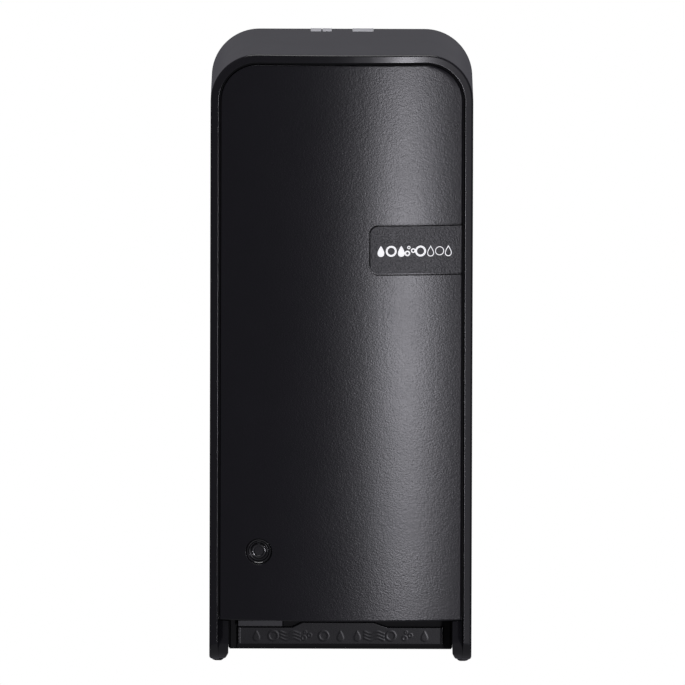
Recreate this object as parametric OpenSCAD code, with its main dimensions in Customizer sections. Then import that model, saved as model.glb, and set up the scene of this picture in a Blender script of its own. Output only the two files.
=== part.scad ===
// Wall mounted soap dispenser: hinged cover over a battery foam pump drive and a refill.
// X runs to the right, Y towards the wall and Z up; millimetres throughout.
// Every module draws with the foot of the cover at Z = 0, and on_wall() lowers it to the screw centre.

/* [Housing] */
// Width of the cover
housing_w = 120; // [118:1:150]
// Height of the cover
housing_h = 281; // [270:1:345]
// Depth from the wall to the front edge of a side wall
side_d = 114; // [112:1:142]
// Radius of the bowed front, about a vertical axis
front_r = 260; // [220:5:600]
// Outside radius of the two top corners
corner_r = 22; // [16:1:30]
// Thickness of the cover's side and top walls
wall = 3.1; // [2.2:0.1:4]
// Gap between the wall and the rear edge of the cover
rear_gap = 4.5; // [4.3:0.1:5]
// Radius of the lower front corner of each side wall
foot_r = 15; // [8:1:20]
// Width of the thick lower edge of a side wall
foot_w = 8.7; // [6:0.1:10]

/* [Front panel] */
// Width of the rim round the front panel
rim_w = 3.8; // [3.3:0.1:6]
// Shadow gap between the rim and the panel
panel_gap = 1; // [0.4:0.1:2]
// Thickness of the panel
panel_t = 2.5; // [2:0.1:4]
// How far the panel lies behind the rim
panel_inset = 0.6; // [0:0.1:2]
// Height of the panel's lower edge
panel_z = 20.5; // [16:0.5:30]

/* [Badge] */
// Width of the badge, which ends at the panel's right edge
badge_w = 42.1; // [25:0.1:50]
// Height of the badge
badge_h = 21; // [14:0.5:30]
// Height of the badge's centre
badge_z = 190.5; // [120:0.5:230]
// Thickness of the badge
badge_t = 1.1; // [0.8:0.1:1.6]
// Groove round the badge
badge_gap = 0.9; // [0.3:0.1:1.5]

/* [Lock] */
// Distance of the lock from the centre line
lock_x = 37.4; // [30:0.1:40]
// Height of the lock
lock_z = 52.3; // [48:0.1:60]
// Radius of the hole for the lock in the panel
lock_hole_r = 6; // [5.5:0.1:7]
// Radius of the turning plug
plug_r = 3.5; // [3:0.1:4]
// Length of the cam, from the plug's axis to its tip
cam_l = 31; // [26:0.5:33]

/* [Hinge] */
// Radius of the hinge pin
pin_r = 1.5; // [1:0.1:2]
// Distance of the pin from the wall, and below the top of the cover, is set by this radius
knuckle_r = 4.5; // [4:0.1:4.6]
// Width of each hinge ear
ear_w = 9; // [6:0.5:10]
// Distance of an ear's inner side from the centre line
ear_x = 5.1; // [4:0.1:8]
// Depth of each slot in the cover's top
slot_d = 12.5; // [12:0.5:16]

/* [Wall plate] */
// Thickness of the wall plate
plate_t = 4; // [3.5:0.1:4.2]
// Height of the middle of the screw pattern
screws_z = 175; // [165:1:185]
// Distance between the screw holes, across
screws_w = 80; // [76:1:90]
// Distance between the screw holes, up
screws_h = 130; // [110:1:136]
// Radius of a screw hole
screw_hole_r = 2.75; // [2:0.05:3.5]

/* [Base] */
// Gap between the cover's feet and the chassis on each side
side_gap = 4; // [2:0.1:5]
// Distance of the apron's face behind the front edge of a side wall
apron_d = 22; // [20:0.5:24]
// Height of the underside of the chassis floor
floor_z = 4; // [3:0.1:8]
// Thickness of the chassis floor
floor_t = 3; // [2:0.1:4]
// Thickness of the chassis side webs
web_t = 2; // [1.6:0.1:3]
// Height of the apron's upper edge
apron_top = 14.4; // [13:0.1:15]
// Height of the raised middle of the apron
spout_guard_top = 16.7; // [15:0.1:18]

/* [Refill] */
// Width of the bottle
bottle_w = 100; // [80:1:100]
// Depth of the bottle
bottle_d = 66; // [60:1:66]
// Distance of the bottle's back from the wall
bottle_y = 32; // [32:0.5:36]
// Space between the bottle and the top of the cover
bottle_head = 28; // [21:1:34]
// Wall of the bottle
bottle_t = 1.2; // [0.8:0.1:2]
// Radius of the bottle's neck
neck_r = 18; // [17:0.5:18.5]
// Height of the top face of the shelf that carries the cap
shelf_top = 103; // [102:0.5:106]

/* [Pump] */
// Radius of the pump body
pump_r = 15; // [13:0.5:15]
// Radius of the piston
piston_r = 11; // [9:0.5:12]
// Radius of the spout
spout_r = 4.5; // [3.5:0.1:5]
// Length of the pump stroke
stroke = 8; // [5:0.5:9]

/* [Drive] */
// Teeth of every small pinion
pinion_n = 12; // [12:1:13]
// Teeth of the output gear
output_n = 40; // [36:1:40]
// Teeth of the middle gear
middle_n = 36; // [32:1:38]
// Module of the rack and its pinion
rack_m = 1; // [0.9:0.05:1.05]
// Module of the output gear
output_m = 0.8; // [0.7:0.05:0.8]
// Module of the motor pinion and the middle gear
motor_m = 0.6; // [0.5:0.05:0.6]
// Radius of the motor
motor_r = 10; // [8:0.5:10]
// Length of the motor
motor_l = 22; // [16:1:22]
// Radius of the fixed gear shafts
shaft_r = 1.5; // [1:0.1:1.6]

/* [Batteries] */
// Radius of a cell
cell_r = 7.2; // [5:0.1:7.4]
// Length of a cell's body
cell_l = 49.2; // [40:0.1:50]
// Distance between cell axes
cell_pitch = 16; // [15:0.1:16.5]
// Wall of the battery box
box_t = 1.6; // [1.2:0.1:2]
// Height of the underside of the battery box
box_z = 30; // [30:0.5:32]

/* [Fits] */
// Clearance between pieces that pass each other
clear = 0.3; // [0.2:0.05:0.4]
// Radial clearance of a running fit
run_fit = 0.05; // [0.02:0.01:0.09]
// Sideways play taken off each flank of a gear tooth
backlash = 0.07; // [0.05:0.01:0.12]

/* [Hidden] */

round_fn = 96;
front_fn = 256;
over = 1;

half_w = housing_w / 2;
bow = front_r - sqrt(front_r * front_r - half_w * half_w);
full_d = side_d + bow;
front_axis_y = front_r - full_d;

pin_y = -(knuckle_r + 2);
pin_z = housing_h - knuckle_r - 1.5;
slot_in = ear_x - clear;
slot_out = ear_x + ear_w + clear;
lug_r = knuckle_r - 0.5;
lug_w = 5.5;
notch_front = rear_gap + slot_d;

plate_top = pin_z - 10.5;
plate_bottom = 8;
plate_w = housing_w - 2.6;

inner_foot = half_w - foot_w;
chassis_hw = inner_foot - side_gap;
web_in = chassis_hw - web_t;
apron_t = 2;
apron_y = -(side_d - apron_d);
floor_top = floor_z + floor_t;
web_front = apron_y + apron_t + 2.2;
web_step_z = 40;
base_hw = inner_foot - 0.4;
curtain_t = 1.6;
curtain_top = panel_z + 1.5;
keeper_left = 0.3 - chassis_hw;
keeper_right = 10.9 - lock_x;

pump_y = -(bottle_y + bottle_d / 2);
shelf_t = 3;
shelf_z = shelf_top - shelf_t;
cap_h = 13;
cap_r = neck_r + 3;
cap_t = 2;
neck_t = 2;
bottle_bottom = shelf_top + 15;
bottle_top = housing_h - bottle_head;
bottle_r = 14;

pump_bottom = shelf_top - 41;
piston_l = 18;
collar_z = pump_bottom - 22;
collar_t = 3;
spring_l = stroke + 7;
spout_bottom = floor_z + 0.4;
foam_r = 2.5;
pump_neck_r = pump_r - 3;
stem_r = piston_r - 3;

addendum = 0.7;
dedendum = 1;
frame_y = -(bottle_y + 2);
frame_t = 2;
middle_y = frame_y - 3;
middle_t = 4;
output_y = middle_y - middle_t - 1;
output_t = 5;
rack_y = output_y - output_t - 4;
rack_t = 6;
front_plate_y = rack_y - rack_t - 4;
motor_shaft_r = 1;
rack_back_x = pump_r + 2;
rack_line_x = rack_back_x + 4;
output_x = rack_line_x + rack_m * pinion_n / 2;
output_z = shelf_z - 30;
middle_z = output_z - output_m * (output_n + pinion_n) / 2;
motor_z = middle_z - motor_m * (middle_n + pinion_n) / 2;
fork_t = 3;
fork_z = collar_z - clear - fork_t;
rack_top = output_z + 14;

box_in_w = 4 * cell_pitch + 0.8;
box_in_h = cell_l + 9.2;
box_hw = box_in_w / 2 + box_t;
box_d = 2 * cell_r + 8.6;
box_top = box_z + box_in_h + 2 * box_t;
box_front = -(plate_t + box_d);
cell_y = -(plate_t + box_t + cell_r + 3.2);
cell_z = box_z + box_t + 6.4;
cell_nub = 1.3;
door_t = 2;
lip_t = 0.8;
rail_w = 2;
cell_x = [for (k = [-1.5:1:1.5]) k * cell_pitch];
cell_end = cell_z + cell_l + cell_nub;
contact_t = 0.6;
lower_contact = box_z + box_t;
upper_contact = box_top - box_t - contact_t;

lock_back = apron_y + apron_t + 2.5;
cam_t = 2;
sensor_hw = 12.5;
sensor_back = pump_y - 12.5;
sensor_front = apron_y + apron_t + 2;
board_t = 1.6;
sensor_board_z = floor_top + 2;
board_x = web_in - board_t;
board_z = floor_top + 2;
board_top = board_z + 17;
board_front = web_front + 1.8;
switch_front = board_front + 2;
switch_l = 14;
switch_z = board_z + 4;
switch_h = 6;
switch_t = 5;

screw_r = 1.5;
tab_x = box_hw + rail_w + clear;
chassis_screw_x = (tab_x + chassis_hw) / 2;
chassis_screw_z = [18, 84];
bracket_screw_x = ear_x + ear_w / 2;
bracket_screw_z = plate_top - 11;
frame_screw_y = front_plate_y + 7;
frame_screw_z = [motor_z - 1, output_z + 14];

// Lowers the drawing so that the middle of the screw pattern is the origin.
module on_wall() {
    translate([0, 0, -screws_z]) children();
}

// Front outline of the housing moved in by inset, with a square foot at height low.
module outline(inset, low) {
    r = corner_r - inset;
    w = housing_w - 2 * inset;
    top = housing_h - inset;
    translate([-w / 2, low]) square([w, top - r - low]);
    translate([-w / 2 + r, low]) square([w - 2 * r, top - low]);
    for (side = [-1, 1])
        translate([side * (w / 2 - r), top - r]) circle(r = r, $fn = round_fn);
}

// Block with the front outline, from depth back to depth front.
module outline_block(inset, low, back, front) {
    translate([0, -back, 0]) rotate([90, 0, 0]) linear_extrude(front - back) outline(inset, low);
}

// Upright cylinder whose side is the bowed front, moved in by inset.
module front_drum(inset) {
    translate([0, front_axis_y, -over])
        cylinder(r = front_r - inset, h = housing_h + 2 * over, $fn = front_fn);
}

// Cylinder along Y from depth back to depth front, centred at x and z.
module rod_y(x, z, r, back, front, fn = round_fn) {
    translate([x, -back, z]) rotate([90, 0, 0]) cylinder(r = r, h = front - back, $fn = fn);
}

// Cylinder along X from x0 to x1, centred at y and z.
module rod_x(x0, x1, y, z, r) {
    translate([x0, y, z]) rotate([0, 90, 0]) cylinder(r = r, h = x1 - x0, $fn = round_fn);
}

// Box given by its lowest and highest corners.
module block(low, high) {
    translate(low) cube(high - low);
}

// The same piece on the left and on the right.
module both_sides() {
    children();
    mirror([1, 0, 0]) children();
}

// Side view of the cover with its rounded lower front corner, as wide as the housing.
module side_profile() {
    front = side_d + 2;
    translate([-half_w - over, 0, 0]) rotate([90, 0, 90]) linear_extrude(housing_w + 2 * over) {
        translate([-front + foot_r, 0]) square([front - foot_r - rear_gap, housing_h]);
        translate([-full_d - over, foot_r]) square([full_d + over - rear_gap, housing_h - foot_r]);
        translate([-front + foot_r, foot_r]) circle(r = foot_r, $fn = round_fn);
    }
}

// Solid envelope of the cover.
module cover_envelope() {
    intersection() {
        outline_block(0, 0, rear_gap, full_d + over);
        front_drum(0);
        side_profile();
    }
}

// Thick lower edge of the right side wall, sloped on its inner side.
module foot_block() {
    slope = 4.6;
    intersection() {
        translate([0, -30, 0]) rotate([90, 0, 0]) linear_extrude(full_d - 30)
            polygon([
                [half_w - wall + 0.1, 0], [half_w - 5.4, 0], [inner_foot, slope],
                [inner_foot, panel_z - 6], [half_w - wall, panel_z - clear],
                [half_w - wall + 0.1, panel_z - clear],
            ]);
        front_drum(panel_inset);
        side_profile();
    }
}

// Lugs under the cover's top that hold the hinge pin.
module hinge_lugs() {
    spans = [[-slot_in, slot_in], [slot_out, slot_out + lug_w], [-slot_out - lug_w, -slot_out]];
    for (span = spans)
        difference() {
            union() {
                rod_x(span[0], span[1], pin_y, pin_z, lug_r);
                block([span[0], pin_y - lug_r, pin_z], [span[1], -rear_gap, housing_h - wall]);
            }
            rod_x(span[0] - over, span[1] + over, pin_y, pin_z, pin_r);
        }
}

module cover_shell() {
    back_of_panel = panel_inset + panel_t;
    ledge_t = 2;
    ledge_w = 10;
    color([0.09, 0.09, 0.1]) on_wall() {
        difference() {
            cover_envelope();
            intersection() {
                outline_block(wall, -over, rear_gap - over, full_d);
                front_drum(back_of_panel + ledge_t);
            }
            difference() {
                outline_block(rim_w, -over, side_d / 2, full_d + over);
                front_drum(back_of_panel);
            }
            outline_block(ledge_w, -over, side_d / 2, full_d + over);
            block([-half_w + wall, -full_d - over, -over], [half_w - wall, -side_d / 2, panel_z - clear]);
            both_sides()
                block([slot_in, -notch_front, housing_h - wall - over], [slot_out, 0, housing_h + over]);
        }
        both_sides() foot_block();
        hinge_lugs();
    }
}

// Rounded rectangle with its right side square, from x0 to x1 and centred at height z.
module badge_outline(x0, x1, height) {
    r = 3.9;
    translate([x0 + r, badge_z - height / 2]) square([x1 - x0 - r, height]);
    translate([x0, badge_z - height / 2 + r]) square([r + 0.1, height - 2 * r]);
    for (side = [-1, 1])
        translate([x0 + r, badge_z + side * (height / 2 - r)]) circle(r = r, $fn = round_fn);
}

module front_panel() {
    edge = rim_w + panel_gap;
    right = half_w - edge;
    boss_r = lock_hole_r + 3;
    boss_y = side_d - 0.5;
    color([0.1, 0.1, 0.11]) on_wall() difference() {
        union() {
            intersection() {
                outline_block(edge, panel_z, side_d - panel_t - panel_inset - 1, full_d + over);
                difference() {
                    front_drum(panel_inset);
                    front_drum(panel_inset + panel_t);
                }
            }
            intersection() {
                rod_y(-lock_x, lock_z, boss_r, boss_y, full_d);
                front_drum(panel_inset + panel_t / 2);
            }
        }
        rod_y(-lock_x, lock_z, lock_hole_r, side_d / 2, full_d + over);
        difference() {
            translate([0, -side_d / 2, 0]) rotate([90, 0, 0]) linear_extrude(full_d)
                badge_outline(right - badge_w - badge_gap, right + over, badge_h + 2 * badge_gap);
            front_drum(panel_inset + badge_t);
        }
    }
}

module badge() {
    right = half_w - rim_w - panel_gap;
    color([0.16, 0.16, 0.17]) on_wall() intersection() {
        translate([0, -side_d / 2, 0]) rotate([90, 0, 0]) linear_extrude(full_d)
            badge_outline(right - badge_w, right, badge_h);
        difference() {
            front_drum(panel_inset);
            front_drum(panel_inset + badge_t);
        }
    }
}

module hinge_pin() {
    reach = slot_out + lug_w;
    color([0.7, 0.7, 0.72]) on_wall() rod_x(-reach, reach, pin_y, pin_z, pin_r);
}

module lock_body() {
    face = side_d - 0.5;
    color([0.12, 0.12, 0.13]) on_wall() difference() {
        union() {
            rod_y(-lock_x, lock_z, lock_hole_r, face, face + 2.6);
            rod_y(-lock_x, lock_z, lock_hole_r + 1, -lock_back + 2, face);
        }
        rod_y(-lock_x, lock_z, plug_r + run_fit, 0, full_d);
        rod_y(-lock_x, lock_z, plug_r + 1.2, face + 1.6, full_d);
    }
}

module lock_plug() {
    face = side_d + 0.6;
    ring_t = 1;
    color([0.15, 0.15, 0.16]) on_wall() {
        rod_y(-lock_x, lock_z, plug_r, -lock_back, face);
        difference() {
            rod_y(-lock_x, lock_z, plug_r, face, face + ring_t);
            rod_y(-lock_x, lock_z, plug_r - 1.2, face - over, face + ring_t + over);
            block([-lock_x - 0.7, -full_d, lock_z], [-lock_x + 0.7, 0, lock_z + plug_r + over]);
        }
    }
}

// The cam points towards the middle while the lock is open.
module lock_cam() {
    half = 4.5;
    color([0.72, 0.72, 0.74]) on_wall() difference() {
        union() {
            rod_y(-lock_x, lock_z, half, -lock_back - cam_t, -lock_back);
            block([-lock_x, lock_back, lock_z - half], [-lock_x + cam_l, lock_back + cam_t, lock_z + half]);
        }
        rod_y(-lock_x, lock_z, 1.5, 0, full_d);
    }
}

module cam_screw() {
    color([0.7, 0.7, 0.72]) on_wall() {
        rod_y(-lock_x, lock_z, 3, -lock_back - cam_t - 2, -lock_back - cam_t);
        rod_y(-lock_x, lock_z, 1.5, -lock_back - cam_t, -lock_back);
    }
}

// Places children at the four wall screw holes.
module at_wall_screws() {
    for (side = [-1, 1], up = [-1, 1])
        translate([side * screws_w / 2, 0, screws_z + up * screws_h / 2]) children();
}

module wall_plate() {
    color([0.13, 0.13, 0.14]) on_wall() difference() {
        block([-plate_w / 2, -plate_t, plate_bottom], [plate_w / 2, 0, plate_top]);
        at_wall_screws() rod_y(0, 0, screw_hole_r, -over, plate_t + over);
        for (side = [-1, 1], z = chassis_screw_z)
            rod_y(side * chassis_screw_x, z, screw_r, -over, plate_t + over);
        for (side = [-1, 1])
            rod_y(side * bracket_screw_x, bracket_screw_z, screw_r, -over, plate_t + over);
    }
}

module hinge_bracket() {
    base_t = 3;
    base_hw = ear_x + ear_w + 2;
    color([0.62, 0.62, 0.64]) on_wall() difference() {
        union() {
            block([-base_hw, -plate_t - base_t, plate_top - 16], [base_hw, -plate_t, plate_top]);
            both_sides() {
                rod_x(ear_x, ear_x + ear_w, pin_y, pin_z, knuckle_r);
                block([ear_x, -plate_t - base_t, plate_top - over], [ear_x + ear_w, -plate_t, pin_z]);
            }
        }
        rod_x(-half_w, half_w, pin_y, pin_z, pin_r + run_fit);
        for (side = [-1, 1])
            rod_y(side * bracket_screw_x, bracket_screw_z, screw_r, 0, plate_t + base_t + over);
    }
}

// Round headed screw along Y whose head bears on depth face.
module screw_y(x, z, face, length) {
    rod_y(x, z, screw_r, face - length, face);
    rod_y(x, z, 2 * screw_r, face, face + 1.8);
}

module bracket_screws() {
    color([0.7, 0.7, 0.72]) on_wall() for (side = [-1, 1])
        screw_y(side * bracket_screw_x, bracket_screw_z, plate_t + 3, 6);
}

// One side web of the chassis with its rear screw tabs.
module chassis_side() {
    block([web_in, web_front, floor_z], [chassis_hw, -plate_t, web_step_z]);
    block([web_in, front_plate_y, web_step_z - over], [chassis_hw, -plate_t, shelf_z]);
    for (z = chassis_screw_z)
        block([tab_x, -plate_t - 2, z - 8], [web_in + 0.1, -plate_t, z + 8]);
}

// Low wall behind the apron that closes the view into the base, with a gap for the lock's keeper.
module chassis_curtain() {
    back = apron_y + apron_t;
    for (x = [[-base_hw, keeper_left - clear], [keeper_right + clear, base_hw]])
        block([x[0], back, floor_z], [x[1], back + curtain_t, curtain_top]);
}

module chassis() {
    post_w = 2;
    color([0.12, 0.12, 0.13]) on_wall() difference() {
        union() {
            block([-base_hw, apron_y + apron_t, floor_z], [base_hw, -plate_t, floor_top]);
            chassis_curtain();
            both_sides() {
                chassis_side();
                block([sensor_hw + 0.5, sensor_front, floor_top - 0.1],
                    [sensor_hw + 0.5 + post_w, sensor_back - 2, floor_top + 2]);
            }
        }
        translate([0, pump_y, 0]) cylinder(r = 10, h = floor_top + over, $fn = round_fn);
        block([-sensor_hw, sensor_front, 0], [sensor_hw, sensor_back, floor_top + over]);
        for (side = [-1, 1], z = chassis_screw_z)
            rod_y(side * chassis_screw_x, z, screw_r, 0, plate_t + 2 + over);
        for (z = frame_screw_z)
            rod_x(0, half_w, frame_screw_y, z, screw_r);
    }
}

module chassis_screws() {
    color([0.7, 0.7, 0.72]) on_wall() for (side = [-1, 1], z = chassis_screw_z)
        screw_y(side * chassis_screw_x, z, plate_t + 2, 5);
}

// Visible front of the base, raised in the middle to screen the spout.
module apron() {
    color([0.13, 0.13, 0.14]) on_wall() translate([0, apron_y + apron_t, 0]) rotate([90, 0, 0])
        linear_extrude(apron_t) polygon([
            [-chassis_hw, floor_z], [chassis_hw, floor_z], [chassis_hw, apron_top],
            [21.7, apron_top], [15, spout_guard_top], [-17.5, spout_guard_top],
            [-22, apron_top], [-chassis_hw, apron_top],
        ]);
}

// Hook that the cam turns behind; its slab shows above the apron on the left.
module lock_keeper() {
    back = apron_y + apron_t + 2;
    post = back - 1.9;
    slab_z = apron_top + 0.9;
    slab_t = 2.3;
    color([0.3, 0.3, 0.32]) on_wall() {
        block([keeper_left, post, floor_top], [keeper_right, back, slab_z]);
        block([keeper_left, apron_y - 3, slab_z], [keeper_right, back, slab_z + slab_t]);
        block([keeper_left, post, slab_z + slab_t], [keeper_right, back, lock_z - cam_l + 9]);
    }
}

module nozzle_grommet() {
    lip = 1.5;
    color([0.2, 0.2, 0.21]) on_wall() translate([0, pump_y, floor_z]) difference() {
        union() {
            cylinder(r = 10, h = floor_t, $fn = round_fn);
            translate([0, 0, floor_t]) cylinder(r = 11, h = lip, $fn = round_fn);
        }
        translate([0, 0, -over]) cylinder(r = spout_r + 1, h = floor_t + lip + 2 * over, $fn = round_fn);
    }
}

module sensor_window() {
    color([0.25, 0.05, 0.08]) on_wall()
        block([-sensor_hw, sensor_front, floor_z], [sensor_hw, sensor_back, floor_z + 1.5]);
}

module sensor_board() {
    color([0.1, 0.35, 0.18]) on_wall()
        block([-sensor_hw - 2.5, sensor_front, sensor_board_z],
            [sensor_hw + 2.5, sensor_back - 2, sensor_board_z + board_t]);
}

// Emitter, receiver and status lamp, facing down through the window.
module sensor_leds() {
    y = (sensor_front + sensor_back - 2) / 2;
    lamp_t = 1.5;
    color([0.75, 0.75, 0.8]) on_wall() for (x = [-7, 0, 7])
        translate([x, y, 0]) {
            translate([0, 0, sensor_board_z - lamp_t]) cylinder(r = 1.9, h = lamp_t, $fn = round_fn);
            translate([0, 0, sensor_board_z - lamp_t]) sphere(r = lamp_t - 0.1, $fn = round_fn);
        }
}

module main_board() {
    color([0.1, 0.35, 0.18]) on_wall() {
        block([board_x, board_front, board_z], [web_in, frame_y, board_top]);
        block([board_x - 1.4, board_front + 24, board_z + 4], [board_x, board_front + 33, board_z + 13]);
        for (step = [0:1])
            block([board_x - 1, board_front + 36 + 4 * step, board_z + 5],
                [board_x, board_front + 38 + 4 * step, board_z + 9]);
    }
}

module switch_body() {
    rail = 1.2;
    color([0.35, 0.35, 0.37]) on_wall() difference() {
        block([board_x - switch_t, switch_front, switch_z],
              [board_x, switch_front + switch_l, switch_z + switch_h]);
        block([board_x - switch_t - over, switch_front + rail, switch_z + rail],
            [board_x - 3, switch_front + switch_l - rail, switch_z + switch_h - rail]);
    }
}

// The knob slides towards the wall to switch on.
module switch_knob() {
    low = switch_z + 1.2 + clear / 2;
    high = switch_z + switch_h - 1.2 - clear / 2;
    start = switch_front + 1.2 + clear;
    color([0.8, 0.8, 0.8]) on_wall()
        block([board_x - 8, start, low], [board_x - 3 - clear / 2, start + 6.5, high]);
}

// Insulated lead along straight stretches, with a ball at every bend.
module lead(points, r = 0.7) {
    for (i = [0:len(points) - 2]) {
        step = points[i + 1] - points[i];
        translate(points[i]) rotate([0, acos(step[2] / norm(step)), atan2(step[1], step[0])])
            cylinder(r = r, h = norm(step), $fn = 24);
    }
    for (i = [1:1:len(points) - 2]) translate(points[i]) sphere(r = r, $fn = 24);
}

module wiring() {
    rise = box_z + 3;
    far = board_x - 2.6;
    motor_face = front_plate_y - frame_t - motor_l;
    lift = motor_z - 3;
    color([0.6, 0.1, 0.1]) on_wall() {
        lead([[box_hw + rail_w, cell_y, rise], [far, cell_y, rise], [far, cell_y, board_top - 6],
            [far, frame_y - 3, board_top - 6], [board_x, frame_y - 3, board_top - 6]]);
        lead([[output_x + 4, motor_face, lift], [output_x + 4, motor_face - 2.5, lift],
            [far, motor_face - 2.5, lift], [far, motor_face - 2.5, board_top - 2],
            [far, motor_face + 2, board_top - 2], [board_x, motor_face + 2, board_top - 2]]);
    }
    color([0.08, 0.08, 0.08]) on_wall() {
        lead([[box_hw + rail_w, cell_y - 4, rise + 4], [far - 2, cell_y - 4, rise + 4],
            [far - 2, cell_y - 4, board_top - 10], [far - 2, frame_y - 5, board_top - 10],
            [board_x, frame_y - 5, board_top - 10]]);
        lead([[sensor_hw + 2.5, sensor_back - 5, sensor_board_z + 0.8],
            [board_x, sensor_back - 5, sensor_board_z + 0.8]], 0.6);
    }
}

// Shelf with an open slot that the pump hangs through.
module refill_shelf() {
    slot_r = pump_r + 1.5;
    front = -(side_d - 16);
    color([0.14, 0.14, 0.15]) on_wall() difference() {
        block([-chassis_hw, front, shelf_z], [chassis_hw, -bottle_y + 1.5, shelf_top]);
        translate([0, pump_y, shelf_z - over]) cylinder(r = slot_r, h = shelf_t + 2 * over, $fn = round_fn);
        block([-slot_r, front - over, shelf_z - over], [slot_r, pump_y, shelf_top + over]);
        block([rack_back_x - 1, rack_y - rack_t - 1, shelf_z - over],
            [rack_line_x + 2, rack_y + 1, shelf_top + over]);
    }
}

// Rounded block of the bottle moved in by inset.
module bottle_block(inset, low, high) {
    r = bottle_r - inset;
    w = bottle_w - 2 * inset;
    d = bottle_d - 2 * inset;
    translate([0, pump_y, low]) linear_extrude(high - low) {
        translate([-w / 2 + r, -d / 2]) square([w - 2 * r, d]);
        translate([-w / 2, -d / 2 + r]) square([w, d - 2 * r]);
        for (x = [-1, 1], y = [-1, 1])
            translate([x * (w / 2 - r), y * (d / 2 - r)]) circle(r = r, $fn = round_fn);
    }
}

module refill_bottle() {
    neck_top = bottle_bottom + bottle_t;
    color([0.9, 0.91, 0.92]) on_wall() difference() {
        union() {
            bottle_block(0, bottle_bottom, bottle_top);
            translate([0, pump_y, shelf_top + cap_t])
                cylinder(r = neck_r, h = neck_top - shelf_top - cap_t, $fn = round_fn);
        }
        bottle_block(bottle_t, bottle_bottom + bottle_t, bottle_top - bottle_t);
        translate([0, pump_y, shelf_top])
            cylinder(r = neck_r - neck_t, h = neck_top - shelf_top + over, $fn = round_fn);
    }
}

module refill_cap() {
    color([0.85, 0.86, 0.88]) on_wall() translate([0, pump_y, shelf_top]) difference() {
        cylinder(r = cap_r, h = cap_h, $fn = round_fn);
        translate([0, 0, cap_t]) cylinder(r = neck_r, h = cap_h, $fn = round_fn);
        translate([0, 0, -over]) cylinder(r = pump_neck_r, h = cap_h, $fn = round_fn);
    }
}

module pump_body() {
    top = shelf_top + 1.4;
    bore_top = pump_bottom + piston_l + spring_l;
    color([0.88, 0.89, 0.9]) on_wall() translate([0, pump_y, 0]) difference() {
        union() {
            translate([0, 0, pump_bottom])
                cylinder(r = pump_r, h = shelf_top - pump_bottom, $fn = round_fn);
            translate([0, 0, shelf_top - over])
                cylinder(r = pump_neck_r, h = top - shelf_top + over, $fn = round_fn);
        }
        translate([0, 0, pump_bottom - over])
            cylinder(r = piston_r + run_fit, h = bore_top - pump_bottom + over, $fn = round_fn);
        translate([0, 0, pump_bottom]) cylinder(r = foam_r, h = top, $fn = round_fn);
    }
}

module pump_piston() {
    color([0.95, 0.95, 0.96]) on_wall() translate([0, pump_y, 0]) difference() {
        union() {
            translate([0, 0, pump_bottom]) cylinder(r = piston_r, h = piston_l, $fn = round_fn);
            translate([0, 0, collar_z])
                cylinder(r = stem_r, h = pump_bottom - collar_z, $fn = round_fn);
            translate([0, 0, collar_z]) cylinder(r = pump_r - 1, h = collar_t, $fn = round_fn);
            translate([0, 0, spout_bottom])
                cylinder(r = spout_r, h = collar_z - spout_bottom, $fn = round_fn);
        }
        cylinder(r = foam_r, h = housing_h, $fn = round_fn);
    }
}

// Round wire wound into a coil of the given mean radius, height and turns.
module coil(mean_r, wire_r, height, turns) {
    per_turn = 16;
    sides = 8;
    rings = round(per_turn * turns);
    points = [for (i = [0:rings], j = [0:sides - 1])
        let (a = 360 * i / per_turn, b = 360 * j / sides, reach = mean_r + wire_r * cos(b))
        [reach * cos(a), reach * sin(a), wire_r + (height - 2 * wire_r) * i / rings + wire_r * sin(b)]];
    walls = [for (i = [0:rings - 1], j = [0:sides - 1])
        let (n = (j + 1) % sides)
        [i * sides + j, i * sides + n, (i + 1) * sides + n, (i + 1) * sides + j]];
    ends = [[for (j = [sides - 1:-1:0]) j], [for (j = [0:sides - 1]) rings * sides + j]];
    polyhedron(points = points, faces = concat(walls, ends), convexity = 6);
}

module pump_spring() {
    color([0.75, 0.75, 0.77]) on_wall() translate([0, pump_y, pump_bottom + piston_l])
        coil(stem_r, 0.6, spring_l, 5);
}

// Half thickness of a tooth, in degrees, at radius r of a gear with 20 degree flanks.
function tooth_angle(teeth, pitch_r, r) =
    let (base_r = pitch_r * cos(20), at = acos(min(1, base_r / max(r, base_r))))
    90 / teeth - backlash / pitch_r * 180 / PI
        + (tan(20) - tan(at)) * 180 / PI - 20 + at;

// Flat gear outline with one tooth centred on the given angle.
module gear_outline(teeth, m, phase) {
    pitch_r = m * teeth / 2;
    root_r = pitch_r - dedendum * m;
    tip_r = pitch_r + addendum * m;
    base_r = max(root_r, pitch_r * cos(20));
    radii = [root_r, for (i = [0:5]) base_r + (tip_r - base_r) * i / 5];
    function corner(r, angle) = [r * cos(angle), r * sin(angle)];
    polygon([for (k = [0:teeth - 1])
        let (centre = phase + 360 * k / teeth)
        each concat(
            [for (i = [0:len(radii) - 1])
                corner(radii[i], centre - tooth_angle(teeth, pitch_r, radii[i]))],
            [for (i = [len(radii) - 1:-1:0])
                corner(radii[i], centre + tooth_angle(teeth, pitch_r, radii[i]))])]);
}

// Toothed wheel along Y, from depth y forwards by thickness t.
module wheel(x, z, y, t, teeth, m, phase) {
    translate([x, y, z]) rotate([90, 0, 0]) linear_extrude(t) gear_outline(teeth, m, phase);
}

// The pinion shows a tooth to the rack, and the wheel shows a tooth to the middle gear below it.
module output_gear() {
    color([0.85, 0.85, 0.82]) on_wall() difference() {
        union() {
            wheel(output_x, output_z, output_y, output_t, output_n, output_m, -90);
            wheel(output_x, output_z, output_y - output_t, rack_t + 5, pinion_n, rack_m, 180);
        }
        rod_y(output_x, output_z, shaft_r + run_fit, 0, side_d);
    }
}

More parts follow.
